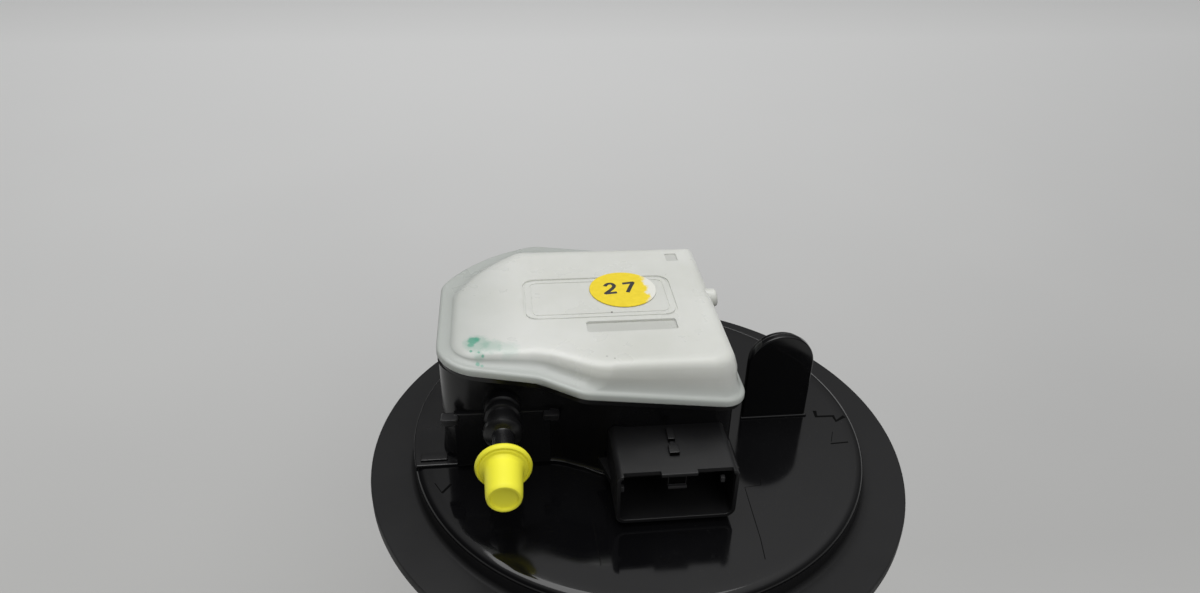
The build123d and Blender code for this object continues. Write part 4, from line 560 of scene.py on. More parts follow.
def dot_finish():
    """Yellow paper, worn white along its right edge."""
    finish, tree, shader, place = new_finish("dot_paper")
    tatters = noise(tree, place, 330.0, detail=5.0, roughness=0.7)
    along = split_axes(tree, place)[0]
    edge = arithmetic(tree, "ADD", along, arithmetic(tree, "MULTIPLY", tatters, 6 * MM))
    worn = ramp(tree, edge, 0.0, 1.0, (6 * MM, 7.2 * MM))
    fibres = noise(tree, place, 500.0, detail=4.0)
    paper = ramp(tree, fibres, (0.86, 0.66, 0.02), (0.93, 0.72, 0.03), (0.35, 0.65))
    tree.links.new(blend_colours(tree, worn, paper, (0.80, 0.80, 0.74)), shader.inputs["Base Color"])
    shader.inputs["Roughness"].default_value = 0.55
    relief(tree, shader, noise(tree, place, 1500.0), 0.2, 0.01)
    return finish


milky_cover = cover_finish()
label_bed = cover_finish("label_bed", 0.8)
dot_paper = dot_finish()


def dress(piece, material, slot, body, *nodes, angle=34.0):
    """Gives a piece its shading, material and body, and hides the nodes it stands for; the record slot it is
    given is not used.
    """
    smooth(piece, angle)
    piece.data.materials.clear()
    piece.data.materials.append(material)
    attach(piece, body)
    if nodes:
        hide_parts(*nodes)
    return piece


def paint(piece, material, wanted):
    """One more material, on the faces for which wanted(x, y, z, normal) is true, in mm."""
    piece.data.materials.append(material)
    for face in piece.data.polygons:
        if wanted(*face.center / MM, face.normal):
            face.material_index = len(piece.data.materials) - 1


def drawn_run(name, points, radius, rounds, kind="NURBS", steps=12, caps=False):
    """A round run through points in mm, straight or smooth between them, made into a mesh."""
    run = bpy.data.curves.new(name, "CURVE")
    run.dimensions = "3D"
    run.bevel_depth = radius * MM
    run.bevel_resolution = rounds
    run.resolution_u = steps
    run.use_fill_caps = caps
    spline = run.splines.new(kind)
    spline.points.add(len(points) - 1)
    for point, spot in zip(spline.points, points):
        point.co = (*(part * MM for part in spot), 1.0)
    if kind == "NURBS":
        spline.order_u = 3
        spline.use_endpoint_u = True
    line = bpy.data.objects.new(name, run)
    bpy.context.collection.objects.link(line)
    pick_up(line)
    bpy.ops.object.convert(target="MESH")
    return name_it(name)


def flat_run(name, points, radius, rounds, share, level, **settings):
    """A run drawn in plan, pressed to a share of its thickness, at a level in mm."""
    piece = drawn_run(name, [(*spot, 0) for spot in points], radius, rounds, **settings)
    piece.scale = (1, 1, share)
    piece.location = (0, 0, level * MM)
    return settle(piece)


# -------- separator
def round_corner(piece, spot, reach, segments):
    """Rounds the open mesh's corner nearest to a spot in plan, in mm."""
    place = Vector(spot) * MM
    corners = bmesh.from_edit_mesh(piece.data).verts
    nearest = min(corners, key=lambda corner: (corner.co.xy - place).length).co.copy()
    mark(piece, "verts", lambda corner: (corner.co - nearest).length < TOUCH / 10)
    bpy.ops.mesh.bevel(offset=reach * MM, offset_type="OFFSET", segments=segments, affect="VERTICES")


def separator_ring(front, rear_corner, rear_radius, height, fall):
    """One ring of the separator's plan, at a height, falling towards +X.

    front holds the front's four corners from left to right, each as X, Y and radius: it steps
    forward in an S. rear_corner is the one behind them on the right, and the rest of the rear
    is an arc about the flange's axis."""
    put_down()
    bpy.ops.mesh.primitive_circle_add(vertices=7, radius=0.05, fill_type="NGON")
    ring = name_it("separator_ring")
    left, back = front[0][0], rear_corner[1]
    rear_x = -math.sqrt(rear_radius**2 - back**2)
    rear_y = math.sqrt(rear_radius**2 - left**2)
    corners = [*(Vector(corner[:2]) for corner in front), Vector(rear_corner[:2])]
    corners += [Vector((rear_x, back)), Vector((left, rear_y))]
    for point, spot in zip(ring.data.vertices, corners):
        point.co = (spot[0] * MM, spot[1] * MM, 0)
    open_mesh(ring, "EDGE")
    ends = [spot * MM for spot in corners[5:]]
    mark(ring, "edges", lambda edge: all(
        min((point.co.xy - end).length for end in ends) < TOUCH for point in edge.verts))
    bpy.ops.mesh.subdivide(number_cuts=REAR_STEPS)
    mesh = bmesh.from_edit_mesh(ring.data)
    for point in mesh.verts:
        if min((point.co.xy - spot * MM).length for spot in corners) > TOUCH:
            point.co.xy = point.co.xy.normalized() * rear_radius * MM
    bmesh.update_edit_mesh(ring.data)
    bpy.ops.mesh.select_mode(type="VERT")
    radii = [corner[2] for corner in front] + [rear_corner[2]]
    for i, (radius, segments) in enumerate(zip(radii, CORNER_SEGMENTS)):
        turn = (corners[i] - corners[i - 1]).angle(corners[i + 1] - corners[i])
        round_corner(ring, corners[i], radius * math.tan(turn / 2), segments)
    for spot in corners[5:]:
        round_corner(ring, spot, REAR_LEFT_CUT, 3)
    select_all()
    bpy.ops.mesh.delete(type="ONLY_FACE")
    close_mesh()
    for point in ring.data.vertices:
        point.co.z = height * MM - fall * point.co.x
    return ring


def skin(name, rings):
    """Joins rings one after another and bridges each to the next; both ends are filled."""
    piece = rings[0]
    count = len(piece.data.vertices)
    for ring in rings[1:]:
        pick_up(piece, ring)
        bpy.ops.object.join()
        last = len(piece.data.vertices) - 2 * count
        open_mesh(piece, "EDGE")
        mark(piece, "edges", lambda edge: min(point.index for point in edge.verts) >= last)
        bpy.ops.mesh.bridge_edge_loops()
        close_mesh()
    piece = name_it(name)
    total = len(piece.data.vertices)
    open_mesh(piece, "EDGE")
    for first in (0, total - count):
        mark(piece, "edges", lambda edge: all(
            first <= point.index < first + count for point in edge.verts))
        bpy.ops.mesh.edge_face_add()
    close_mesh()
    return outward(piece)


def grown(plan, out):
    """The same plan with every side moved outwards."""
    def rounder(radius):
        return max(radius + out / 2, 0.3)

    front, (rear_x, rear_y, corner_radius), rear_radius = plan
    sideways = (-out, -out / 4, -out / 4, out)
    wider = [(x + step, y - out, rounder(radius)) for (x, y, radius), step in zip(front, sideways)]
    return wider, (rear_x + out, rear_y + out, rounder(corner_radius)), rear_radius + out


def part_way(first, second, share):
    """A plan between two others: share is 0 at the first and 1 at the second."""
    def mix(a, b):
        return tuple(p + (q - p) * share for p, q in zip(a, b))

    front = [mix(a, b) for a, b in zip(first[0], second[0])]
    return front, mix(first[1], second[1]), first[2] + (second[2] - first[2]) * share


def wall_ring(height, out, fall=0.0):
    return separator_ring(*grown(WALL, out), height, fall)


def lip_ring(height, out):
    return separator_ring(*grown(LIP, out), height, LIP_SLOPE)


def rising_ring(plan, rise):
    """A ring between lip and top: rise is 0 on the lip and 1 at the flat top."""
    return separator_ring(*plan, LIP_TOP + (CROWN_TOP - LIP_TOP) * rise, LIP_SLOPE * (1 - rise))


def crown_ring(rise, out):
    return rising_ring(grown(CROWN, out), rise)


def flare_ring(rise, share):
    """A ring of the hollow sweep from the crown down to the lip."""
    return rising_ring(part_way(grown(CROWN, 0.8), grown(LIP, -0.9), share), rise)


def make_cover():
    """One skin from the flat top over the crown, sweep and lip, and back up inside."""
    crown = [crown_ring(rise, out) for rise, out in (
        (1.0, -4.6), (0.99, -3.2), (0.965, -2.1), (0.92, -1.1), (0.85, -0.4), (0.76, 0.1), (0.66, 0.45))]
    sweep = [flare_ring(rise, share) for rise, share in (
        (0.54, 0.03), (0.42, 0.08), (0.31, 0.15), (0.21, 0.26), (0.13, 0.4), (0.07, 0.56), (0.03, 0.72),
        (0.01, 0.87))]
    lip = [lip_ring(height, out) for height, out in (
        (LIP_TOP, -0.9), (43.05, -0.35), (42.5, 0.0), (41.2, 0.0), (40.8, -0.35))]
    inside = [wall_ring(40.8, -2.4, LIP_SLOPE), crown_ring(0.0, -1.4), crown_ring(0.7, -2.4)]
    return skin("cover", crown + sweep + lip + inside)


def panel_block(low, high, corner):
    """A block between two corners with its upright edges rounded."""
    tool = block("sunk_panel", low, high)
    open_mesh(tool, "EDGE")
    mark(tool, "edges", lambda edge: abs(edge.verts[0].co.z - edge.verts[1].co.z) > 0.5 * MM)
    bpy.ops.mesh.bevel(offset=corner * MM, segments=6, affect="EDGES")
    close_mesh()
    return tool


def make_panel_marks(cover):
    """Sinks the panel's three borders, two of them round an island, the bare slot and the corner mark."""
    for low, high, corner, island in (
        ((-35.6, 2.9, 51.55), (11.6, 26.8, 53), 4.0, 0.7),
        ((-34.9, 3.6, 51.85), (10.9, 26.1, 53), 3.4, 0),
        ((-33.4, 5.1, 51.65), (9.4, 24.6, 53), 2.4, 0.5),
        (*LABEL_SLOT, 0.9, 0),
        (*CORNER_MARK, 0.4, 0),
    ):
        tool = panel_block(low, high, corner)
        if island:
            low = [part + island for part in low[:2]] + [low[2] - 1]
            high = [part - island for part in high[:2]] + [high[2] + 1]
            carve(tool, panel_block(low, high, corner - island))
        carve(cover, tool)
    return cover


def make_nub():
    """Small moulded nub on the right wall of the crown."""
    nub = turned("nub", (22.5, 17.2, 48.3), (1, 0, 0.1), [(0, 3.2), (3.3, 2.9), (3.9, 2.4), (4.0, 0)], 32)
    return soften(nub, 0.3)


def make_base_plate():
    """Plate of the housing that lies on the disc: round behind, with the S-step in front."""
    put_down()
    bpy.ops.mesh.primitive_circle_add(
        vertices=192, radius=71.1 * MM, fill_type="NGON", location=(0, 0, 10 * MM))
    plate = settle(name_it("base_plate"))
    open_mesh(plate, "FACE")
    step_left, step_right, right_edge = -26.2, -13.0, 28.0
    for spot, facing, clears in (
        ((0, PAD_FRONT), (0, -1, 0), True),
        ((right_edge, 0), (1, 0, 0), True),
        ((step_left, 0), (1, 0, 0), False),
        ((step_right, 0), (1, 0, 0), False),
    ):
        select_all()
        bpy.ops.mesh.bisect(
            plane_co=(spot[0] * MM, spot[1] * MM, 0), plane_no=facing, clear_outer=clears)
    bpy.ops.mesh.select_mode(type="VERT")
    mark(plate, "verts", lambda point: (
        point.co.y < (PAD_FRONT + 0.1) * MM and point.co.x > (step_right - 0.1) * MM))
    shift(0, STEP_FRONT - PAD_FRONT, 0)
    select_all()
    bpy.ops.mesh.dissolve_limited(angle_limit=math.radians(0.1))
    round_corner(plate, (step_left, PAD_FRONT), 0.5, 8)
    round_corner(plate, (step_right, STEP_FRONT), 3.0, 8)
    bpy.ops.mesh.select_mode(type="FACE")
    select_all()
    draw_out(0, 0, 2.5)
    close_mesh()
    return soften(outward(plate), 0.45, 3, 50)


def make_ear(name, left, right):
    """Ear at an end of the nipple pad: a small block with a sloping underside."""
    ear = block(name, (left, -17.6, 26.2), (right, -13.5, 31.8))
    open_mesh(ear, "VERT")
    mark(ear, "verts", lambda point: point.co.y < -17 * MM and point.co.z < 28 * MM)
    shift(0, 3.0, 1.2)
    close_mesh()
    return soften(ear, 0.7, 3)


def make_housing():
    """Walls of the separator, its weld rim, the pad round the feed nipple, its ears and a tongue."""
    walls = skin("walls", [
        wall_ring(12.3, 0.9), wall_ring(12.75, 0.35), wall_ring(13.5, 0.1), wall_ring(20.0, 0.05),
        wall_ring(37.7, 0.0, LIP_SLOPE), wall_ring(38.3, 0.3, LIP_SLOPE),
        lip_ring(38.6, -1.2), lip_ring(39.0, -0.8), lip_ring(40.8, -0.8),
    ])
    pad = soften(block("pad", (-57.2, -15.2, 12.4), (-29.0, -13.0, 32.0)), 0.35)
    ears = [make_ear("ear_left", -60.8, -55.8), make_ear("ear_right", -31.2, -26.4)]
    tongue = soften(block("tongue", (-68.3, -12.6, 12.3), (-60.2, -9.4, 13.1)), 0.25)
    return join("housing", walls, make_base_plate(), pad, tongue, *ears)


# -------- flange
def make_flange():
    """Rim, raised disc, spigot and seal groove, turned in one section."""
    return turned("flange", (0, 0, 0), (0, 0, 1), [
        (7.6, 0), (7.6, 58.4), (7.0, 59.0), (-13.4, 59.0), (-14.0, 59.6), (-14.0, 60.8), (-12.8, 62.0),
        (5.7, 62.0), (6.0, 62.3), (6.0, 68.0), (0.3, 68.0), (0.0, 68.4), (0.0, 84.4), (0.6, 85.0),
        (3.3, 85.0), (3.8, 84.8), (4.0, 84.3), (4.0, 72.9), (4.2, 72.2), (4.7, 71.6), (5.4, 71.3),
        (9.2, 71.3), (10.1, 71.1), (10.9, 70.5), (11.4, 69.6), (DISC_TOP, 68.6), (DISC_TOP, 66.0),
        (DISC_TOP, 0),
    ], 256)


def make_gussets():
    """Gussets, rod bosses and the harness well under the disc."""
    parts = []
    ribs = 12
    for count in range(ribs):
        rib = soften(block("rib", (44.5, -0.9, 0.0), (59.5, 0.9, 7.8)), 0.3)
        open_mesh(rib, "VERT")
        mark(rib, "verts", lambda point: point.co.z < 1 * MM and point.co.x < 46 * MM)
        shift(0, 0, 4)
        select_all()
        bpy.ops.transform.rotate(
            value=-math.tau * count / ribs, orient_axis="Z", center_override=(0, 0, 0))
        close_mesh()
        parts.append(rib)
    for spot in RODS.values():
        parts.append(turned("boss", (*spot, 0), (0, 0, 1), [
            (-10.0, 4.1), (-10.0, 7.4), (-9.4, 8.0), (6.6, 8.2), (7.7, 9.2), (7.7, 4.1), (-10.0, 4.1)], 64))
    well = block("well", (-11.3, -23.1, -6.0), (19.7, -14.1, 7.7))
    open_mesh(well, "FACE")
    mark(well, "faces", lambda face: face.normal.z < -0.9)
    bpy.ops.mesh.inset(thickness=1.6 * MM)
    draw_out(0, 0, 9)
    close_mesh()
    parts.append(soften(well, 0.3))
    return join("flange_ribs", *parts)


def make_disc_lines():
    """Fitting marks on the disc, each a thin ribbon: an arrow, short strokes and witness lines."""
    proud = 0.03
    lines = [
        flat_run("mark", points, width / 2, 1, proud * 2 / width, DISC_TOP, kind="POLY")
        for points, width in (
            (ARROW, 1.3),
            ([(59.9, -13.9), (65.7, -13.6)], 0.6),
            ([(62.4, -8.3), (60.4, -12.9)], 0.2),
            ([(-61.4, -25.5), (-58.9, -22.0)], 0.8),
            ([(-63.7, -21.2), (-61.4, -25.5)], 0.25),
            (WITNESS, 0.24),
            ([(-18.7, -40.7), (-18.5, -49.2), (-18.2, -56.6)], 0.2),
        )]
    return join("disc_marks", *lines)


# -------- nipples and cap
def make_nipple():
    """Feed nipple: a ribbed spout to the front, and a barbed stub down into the tank."""
    spout = turned("spout", (FEED_X, 0, FEED_Z), (0, -1, 0), [
        (-4.0, 2.2), (-4.0, 4.6), (12.6, 4.6), (13.0, 5.2), (13.5, 5.4), (15.0, 5.4), (15.4, 5.1),
        (15.6, 4.7), (16.2, 4.7), (16.4, 5.1), (16.8, 5.4), (18.2, 5.4), (18.7, 5.2), (19.0, 4.5),
        (22.6, 4.5), (23.0, 5.0), (23.5, 5.5), (24.4, 5.62), (25.6, 5.5), (26.2, 4.9), (26.5, 4.0),
        (26.8, 3.35), (27.3, 3.15), (46.4, 3.15), (47.0, 2.7), (47.0, 2.2), (-4.0, 2.2)], 64)
    stub = turned("stub", (FEED_X, 4.0, 0), (0, 0, 1), [
        (-16.0, 1.7), (-16.0, 2.6), (-13.5, 3.1), (-13.3, 2.6), (-12.4, 2.6), (-9.9, 3.1), (-9.7, 2.6),
        (-5.0, 2.6), (-5.0, 5.0), (34.0, 5.0), (34.0, 1.7), (-16.0, 1.7)], 48)
    return join("nipple", spout, stub)


def make_cap():
    """Yellow transport cap: a collar, a tapering body and a dished end."""
    return turned("cap", (FEED_X, 0, FEED_Z), (0, -1, 0), [
        (37.4, 3.2), (37.4, 6.3), (37.5, 7.0), (38.0, 7.55), (38.7, 7.8), (39.3, 7.7), (39.7, 7.35),
        (39.75, 7.15), (39.45, 6.95), (39.4, 6.8), (39.75, 6.6), (39.95, 6.4), (39.95, 6.1), (40.1, 5.7),
        (40.7, 5.3), (41.8, 5.15), (48.2, 4.95), (50.0, 4.85), (50.8, 4.65), (51.2, 4.3), (51.2, 3.85),
        (50.9, 3.6), (50.5, 3.5), (50.3, 3.1), (50.3, 0.0), (47.4, 0.0), (47.4, 3.2), (37.4, 3.2)], 96)


def tombstone(name, head, half_width, front, back):
    """A plate with straight sides under a half-round head: the lower half of a disc drawn down."""
    middle, foot = VENT_X * MM, VENT_FOOT * MM
    put_down()
    bpy.ops.mesh.primitive_circle_add(
        vertices=64, radius=half_width * MM, fill_type="NGON",
        location=(middle, front * MM, head * MM), rotation=(math.radians(90), 0, 0))
    plate = settle(name_it(name))
    open_mesh(plate, "VERT")
    mark(plate, "verts", lambda point: point.co.z < head * MM - TOUCH)
    bpy.ops.transform.resize(value=(1, 1, 0), center_override=(middle, front * MM, foot))
    mark(plate, "verts", lambda point: (
        abs(point.co.z - foot) < TOUCH
        and abs(abs(point.co.x - middle) - half_width * MM) > 0.8 * MM))
    bpy.ops.mesh.dissolve_verts()
    mesh = bmesh.from_edit_mesh(plate.data)
    for point in mesh.verts:
        if abs(point.co.z - foot) < TOUCH:
            point.co.x = middle + math.copysign(half_width * MM, point.co.x - middle)
    bmesh.update_edit_mesh(plate.data)
    bpy.ops.mesh.select_mode(type="FACE")
    select_all()
    draw_out(0, back - front, 0)
    close_mesh()
    return outward(plate)


def make_vent():
    """Vent riser: a round-headed front plate, a groove, a ring, the riser and its nipple."""
    plate = soften(tombstone("vent_plate", VENT_HEAD, 10.6, 1.0, 3.4), 0.5, 3, 40)
    groove = tombstone("vent_groove", VENT_HEAD, 8.8, 3.3, 4.2)
    ring = soften(tombstone("vent_ring", VENT_HEAD, 9.7, 4.1, 5.7), 0.4, 2, 40)
    riser = soften(tombstone("vent_riser", VENT_HEAD - 7, 8.2, 5.6, 10.2), 0.5, 2, 40)
    nipple = turned("vent_tube", (48.0, 0, 24.6), (0, 1, 0), [
        (8.0, 3.2), (8.0, 4.9), (12.4, 4.9), (12.8, 5.8), (13.2, 6.0), (14.2, 6.0), (14.7, 5.7),
        (15.2, 4.9), (19.8, 4.9), (20.4, 4.3), (20.4, 3.2), (8.0, 3.2)], 64)
    foot = block("vent_foot", (34.2, 0.2, VENT_FOOT), (56.4, 1.4, 12.3))
    return join("vent", plate, groove, ring, riser, nipple, soften(foot, 0.4, 3))


# -------- socket
def make_socket():
    """Electrical socket: a hood with a cut-back roof, a latch on it, a key, small ledges and webs."""
    left, right = SOCKET_X - SOCKET_HALF, SOCKET_X + SOCKET_HALF
    hood = block("hood", (left, SOCKET_FRONT, SOCKET_LOW), (right, -22.0, SOCKET_HIGH))
    for level, radius in ((SOCKET_LOW, 3.0), (SOCKET_HIGH, 2.0)):
        open_mesh(hood, "EDGE")
        mark(hood, "edges", lambda edge: (
            abs(edge.verts[0].co.y - edge.verts[1].co.y) > 5 * MM
            and abs(abs(edge.verts[0].co.x / MM - SOCKET_X) - SOCKET_HALF) < 0.01
            and abs(edge.verts[0].co.z / MM - level) < 0.01))
        bpy.ops.mesh.bevel(offset=radius * MM, segments=6, affect="EDGES")
        close_mesh()
    open_mesh(hood, "FACE")
    mark(hood, "faces", lambda face: face.normal.y < -0.9)
    bpy.ops.mesh.inset(thickness=1.2 * MM)
    draw_out(0, 17, 0)
    close_mesh()
    soften(hood, 0.28, 3, 40)
    for cut_left, cut_right in ((-11.0, -0.6), (9.4, 19.4)):
        carve(hood, block("cut_back", (cut_left, -45.0, 28.4), (cut_right, -42.1, 32.0)))
    fittings = [soften(block(name, low, high), rounding) for name, low, high, rounding in (
        ("key", (1.6, -41.4, 24.2), (6.9, -22.6, 29.5), 0.25),
        ("bar", (3.3, -30.6, 30.0), (5.3, -25.6, 31.9), 0.25),
        ("lug", (2.8, -36.2, 30.0), (5.7, -32.6, 31.7), 0.3),
        ("link", (3.6, -33.0, 30.0), (5.0, -30.2, 30.9), 0.2),
        ("ledge", (1.6, -42.4, 24.0), (6.9, -41.0, 24.9), 0.15),
        ("ledge", (-11.7, -42.7, 24.2), (-10.6, -41.4, 26.0), 0.15),
        ("ledge", (16.2, -42.7, 25.6), (17.4, -41.4, 27.4), 0.15),
    )]
    for wall, tip in ((left, left - 2.6), (right, right + 2.6)):
        web = block("web", (min(wall, tip), -31.9, 17.2), (max(wall, tip), -22.4, 19.0))
        open_mesh(web, "VERT")
        mark(web, "verts", lambda point: point.co.y < -31.5 * MM and abs(point.co.x - wall * MM) > 1 * MM)
        shift(math.copysign(2.5, wall - tip), 0, 0)
        close_mesh()
        fittings.append(soften(web, 0.2))
    return join("socket", hood, *fittings)


# -------- inspection dot
def make_dot():
    return turned("dot", DOT_PLACE, (0, 0, 1), [
        (0, 0), (0, 10.5), (0.12, 10.6), (0.24, 10.5), (0.24, 0)], 96)


def make_digits():
    """A number written on the dot with a marker pen."""
    two = [
        (-9.4, 20.6), (-8.8, 22.0), (-7.0, 22.3), (-6.2, 20.6), (-7.4, 18.6), (-9.6, 16.2), (-9.6, 16.1),
        (-6.0, 16.6)]
    seven = [(-3.6, 21.9), (-3.5, 21.9), (-0.2, 22.4), (-0.1, 22.4), (-1.2, 20.0), (-2.6, 16.4)]
    return join("digits", *(
        flat_run("stroke", points, 0.62, 3, 0.12, INK_LEVEL, steps=6) for points in (two, seven)))


# the faces that take a second material; each test gets a face's centre in mm, and its normal
def on_bed(box, x, y, z, normal):
    """True on the flat bottom of a mark that was sunk with a box."""
    (left, front, bottom), (right, back, _) = box
    return (
        normal.z > 0.9 and abs(z - bottom) < 0.1
        and left - 0.1 < x < right + 0.1 and front - 0.1 < y < back + 0.1)


def on_ear_painted_highlight(x, y, z, normal):
    return y < -14.9 and 26.0 < z < 32.0 and (x < -55.5 or -31.5 < x < -26.0)


def on_rim(x, y, z, normal):
    return math.hypot(x, y) > 71.2 or z < 4.0


def on_ledge(x, y, z, normal):
    return -42.8 < y < -40.9 and 23.9 < z < 27.5 and -11.8 < x < 17.5


def on_front_painted_shade(x, y, z, normal):
    """The fronts of the latch and the key, made matt black as painted shade where the same plastic would
    reflect light.
    """
    return normal.y < -0.5 and (z > 30.6 or (abs(y + 41.4) < 0.05 and 1.8 < x < 6.7))


cover = make_panel_marks(make_cover())
dress(cover, milky_cover, "natural_plastic", "flange", "separator_cover", angle=40)
paint(cover, label_bed, lambda *at: on_bed(LABEL_SLOT, *at) or on_bed(CORNER_MARK, *at))
dress(make_nub(), milky_cover, "natural_plastic", "flange")
housing = dress(make_housing(), housing_black, "housing_plastic", "flange", "separator_housing")
# painted highlight: the ears get a lighter black to stand in for the light they reflect
paint(housing, plain_black_and_highlight, on_ear_painted_highlight)
flange = dress(make_flange(), polished_black, "flange_plastic", "flange", "flange_plate")
paint(flange, rim_black, on_rim)
dress(make_gussets(), rim_black, "flange_plastic", "flange")
dress(make_disc_lines(), mark_and_shade_black, "flange_plastic", "flange")
dress(make_nipple(), nipple_black, "nipple_plastic", "flange", "feed_nipple")
dress(make_cap(), lemon_yellow, "yellow_plastic", "cap", "transport_cap")
dress(make_vent(), polished_black, "housing_plastic", "flange", "vent_elbow")
socket = dress(make_socket(), socket_black, "socket_plastic", "flange", "connector_shroud")
paint(socket, plain_black_and_highlight, on_ledge)
# painted shade: the latch and key fronts are made matt black to stand in for shade
paint(socket, mark_and_shade_black, on_front_painted_shade)
dress(make_dot(), dot_paper, "dot_paper", "flange", "inspection_dot")
dress(make_digits(), ink, "dot_paper", "flange")


# -------- springs, hose and leads
def coil(name, foot, radius, wire, turns, pitch):
    """Whole turns of round wire that climb from a foot, given at the middle of the wire."""
    put_down()
    bpy.ops.mesh.primitive_circle_add(
        vertices=12, radius=wire * MM, fill_type="NOTHING",
        location=(radius * MM, 0, 0), rotation=(math.radians(90), 0, 0))
    piece = settle(name_it(name))
    modify(
        piece, "SCREW", axis="Z", angle=math.tau, screw_offset=pitch * MM, iterations=turns,
        steps=40, render_steps=40)
    piece.location = Vector(foot) * MM
    return settle(piece)


def closed_ends(spring):
    open_mesh(spring, "EDGE")
    select_all()
    bpy.ops.mesh.fill_holes(sides=0)
    close_mesh()
    return spring


def make_guide_spring(name, spot):
    """Compression spring with one closed turn at each end."""
    wire, radius, turns = 0.8, 6.4, 6
    closed = 2 * wire
    open_rise = SPRING_TOP - SPRING_FOOT - 2 * wire - 2 * closed
    foot = SPRING_FOOT + wire
    runs = [
        coil(name, (*spot, foot), radius, wire, 1, closed),
        coil(name, (*spot, foot + closed), radius, wire, turns, open_rise / turns),
        coil(name, (*spot, foot + closed + open_rise), radius, wire, 1, closed),
    ]
    return closed_ends(outward(join(name, *runs)))


def make_valve_spring(name, spot, bottom, top, radius, wire):
    """Short spring of four open turns above a valve."""
    turns = 4
    pitch = (top - bottom - 2 * wire) / turns
    return closed_ends(outward(coil(name, (*spot, bottom + wire), radius, wire, turns, pitch)))


def held_tube(name, route, radius, finish):
    """A smooth tube along a route, with its finish."""
    tube = drawn_run(name, route, radius, 5, steps=14, caps=True)
    bpy.ops.object.shade_smooth()
    tube.data.materials.append(finish)
    return tube


def hang(piece, node):
    """Hides the node the piece stands for, and bakes the piece's place into its mesh."""
    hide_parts(node)
    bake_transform(piece)


hose_black = moulded("hose_black", (0.014, 0.014, 0.015), (0.022, 0.022, 0.023), (0.28, 0.38), 1400.0)
wire_red = moulded("wire_red", (0.42, 0.02, 0.015), (0.5, 0.03, 0.02), (0.3, 0.4), 2000.0, 0.01)
wire_blue = moulded("wire_blue", (0.02, 0.06, 0.3), (0.03, 0.08, 0.38), (0.3, 0.4), 2000.0, 0.01)
wire_dark = moulded("wire_dark", (0.02, 0.02, 0.02), (0.03, 0.03, 0.03), (0.3, 0.4), 2000.0, 0.01)

for side, spot in RODS.items():
    spring = make_guide_spring(f"spring_{side}", spot)
    dress(spring, spring_wire, "spring_steel", "flange", f"guide_spring_{side}", angle=60)
    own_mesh(spring)

for valve, joint, spot, bottom, top, radius, wire, lift in (
    ("check", "check_valve_lift", (10.0, 4.0), -89.0, -76.0, 2.0, 0.3, 2.0),
    ("regulator", "regulator_lift", (18.0, -24.0), -96.4, -82.8, 4.0, 0.5, 1.5),
):
    spring = make_valve_spring(f"{valve}_coil", spot, bottom, top, radius, wire)
    dress(spring, spring_wire, "spring_steel", "reservoir", f"{valve}_spring", angle=60)
    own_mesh(spring)

hose = held_tube("hose", HOSE_ROUTE, 3.3, hose_black)
hang(hose, "feed_hose")

for node, route, slot, finishes, bottom in (
    ("pump_leads", PUMP_LEADS, "lead_red", (wire_red, wire_dark), -75),
    ("sender_leads", SENDER_LEADS, "lead_blue", (wire_blue, wire_dark), -100),
):
    wires = []
    for side, finish in zip((-0.5, 0.5), finishes):
        shifted = [(x + side * WIRE_GAP, y, z) for x, y, z in route]
        wires.append(held_tube(node, shifted, 1.1, finish))
    hang(join(f"{node}_wires", *wires), node)


# -------- finishes of the CAD pieces
def bands(tree, place, direction, scale):
    node = tree.nodes.new("ShaderNodeTexWave")
    node.bands_direction = direction
    node.inputs["Scale"].default_value = scale
    tree.links.new(place, node.inputs["Vector"])
    return node.outputs["Fac"]


def laminated(name):
    """Stacked steel sheets of an armature, seen as fine rings."""
    finish, tree, shader, place = new_finish(name)
    shader.inputs["Metallic"].default_value = 1.0
    sheets = bands(tree, place, "Z", 300.0)
    tone = ramp(tree, sheets, (0.22, 0.21, 0.2), (0.4, 0.39, 0.38), (0.2, 0.8))
    tree.links.new(tone, shader.inputs["Base Color"])
    shader.inputs["Roughness"].default_value = 0.42
    relief(tree, shader, sheets, 0.5, 0.05, 0.2)
    return finish


def woven(name, colour, gap_shade, cells):
    """Woven mesh: two crossed sets of threads, with painted shade in the gaps between them."""
    finish, tree, shader, place = new_finish(name)
    cloth = arithmetic(tree, "MAXIMUM", *(bands(tree, place, direction, cells) for direction in "XY"))
    # painted shade: the gaps between the threads are darkened for the shade seen through them
    tree.links.new(ramp(tree, cloth, gap_shade, colour, (0.35, 0.75)), shader.inputs["Base Color"])
    shader.inputs["Roughness"].default_value = 0.6
    relief(tree, shader, cloth, 0.7, 0.12, 0.3)
    return finish


def printed_card(name, pivot, tracks):
    """Ceramic card with dark resistor tracks, arcs about the arm's pivot."""
    finish, tree, shader, place = new_finish(name)
    reach = distance_from(tree, place, (pivot[0], 0, pivot[1]), (1, 0, 1))
    colour = ramp(tree, noise(tree, place, 200.0), (0.66, 0.67, 0.64), (0.74, 0.75, 0.72))
    for radius in tracks:
        off = arithmetic(tree, "ABSOLUTE", arithmetic(tree, "SUBTRACT", reach, radius * MM), 0.0)
        on_track = ramp(tree, off, 1.0, 0.0, (0.9 * MM, 1.1 * MM))
        colour = blend_colours(tree, on_track, colour, (0.03, 0.035, 0.03))
    tree.links.new(colour, shader.inputs["Base Color"])
    shader.inputs["Roughness"].default_value = 0.35
    relief(tree, shader, noise(tree, place, 900.0), 0.2, 0.01, 0.15)
    return finish


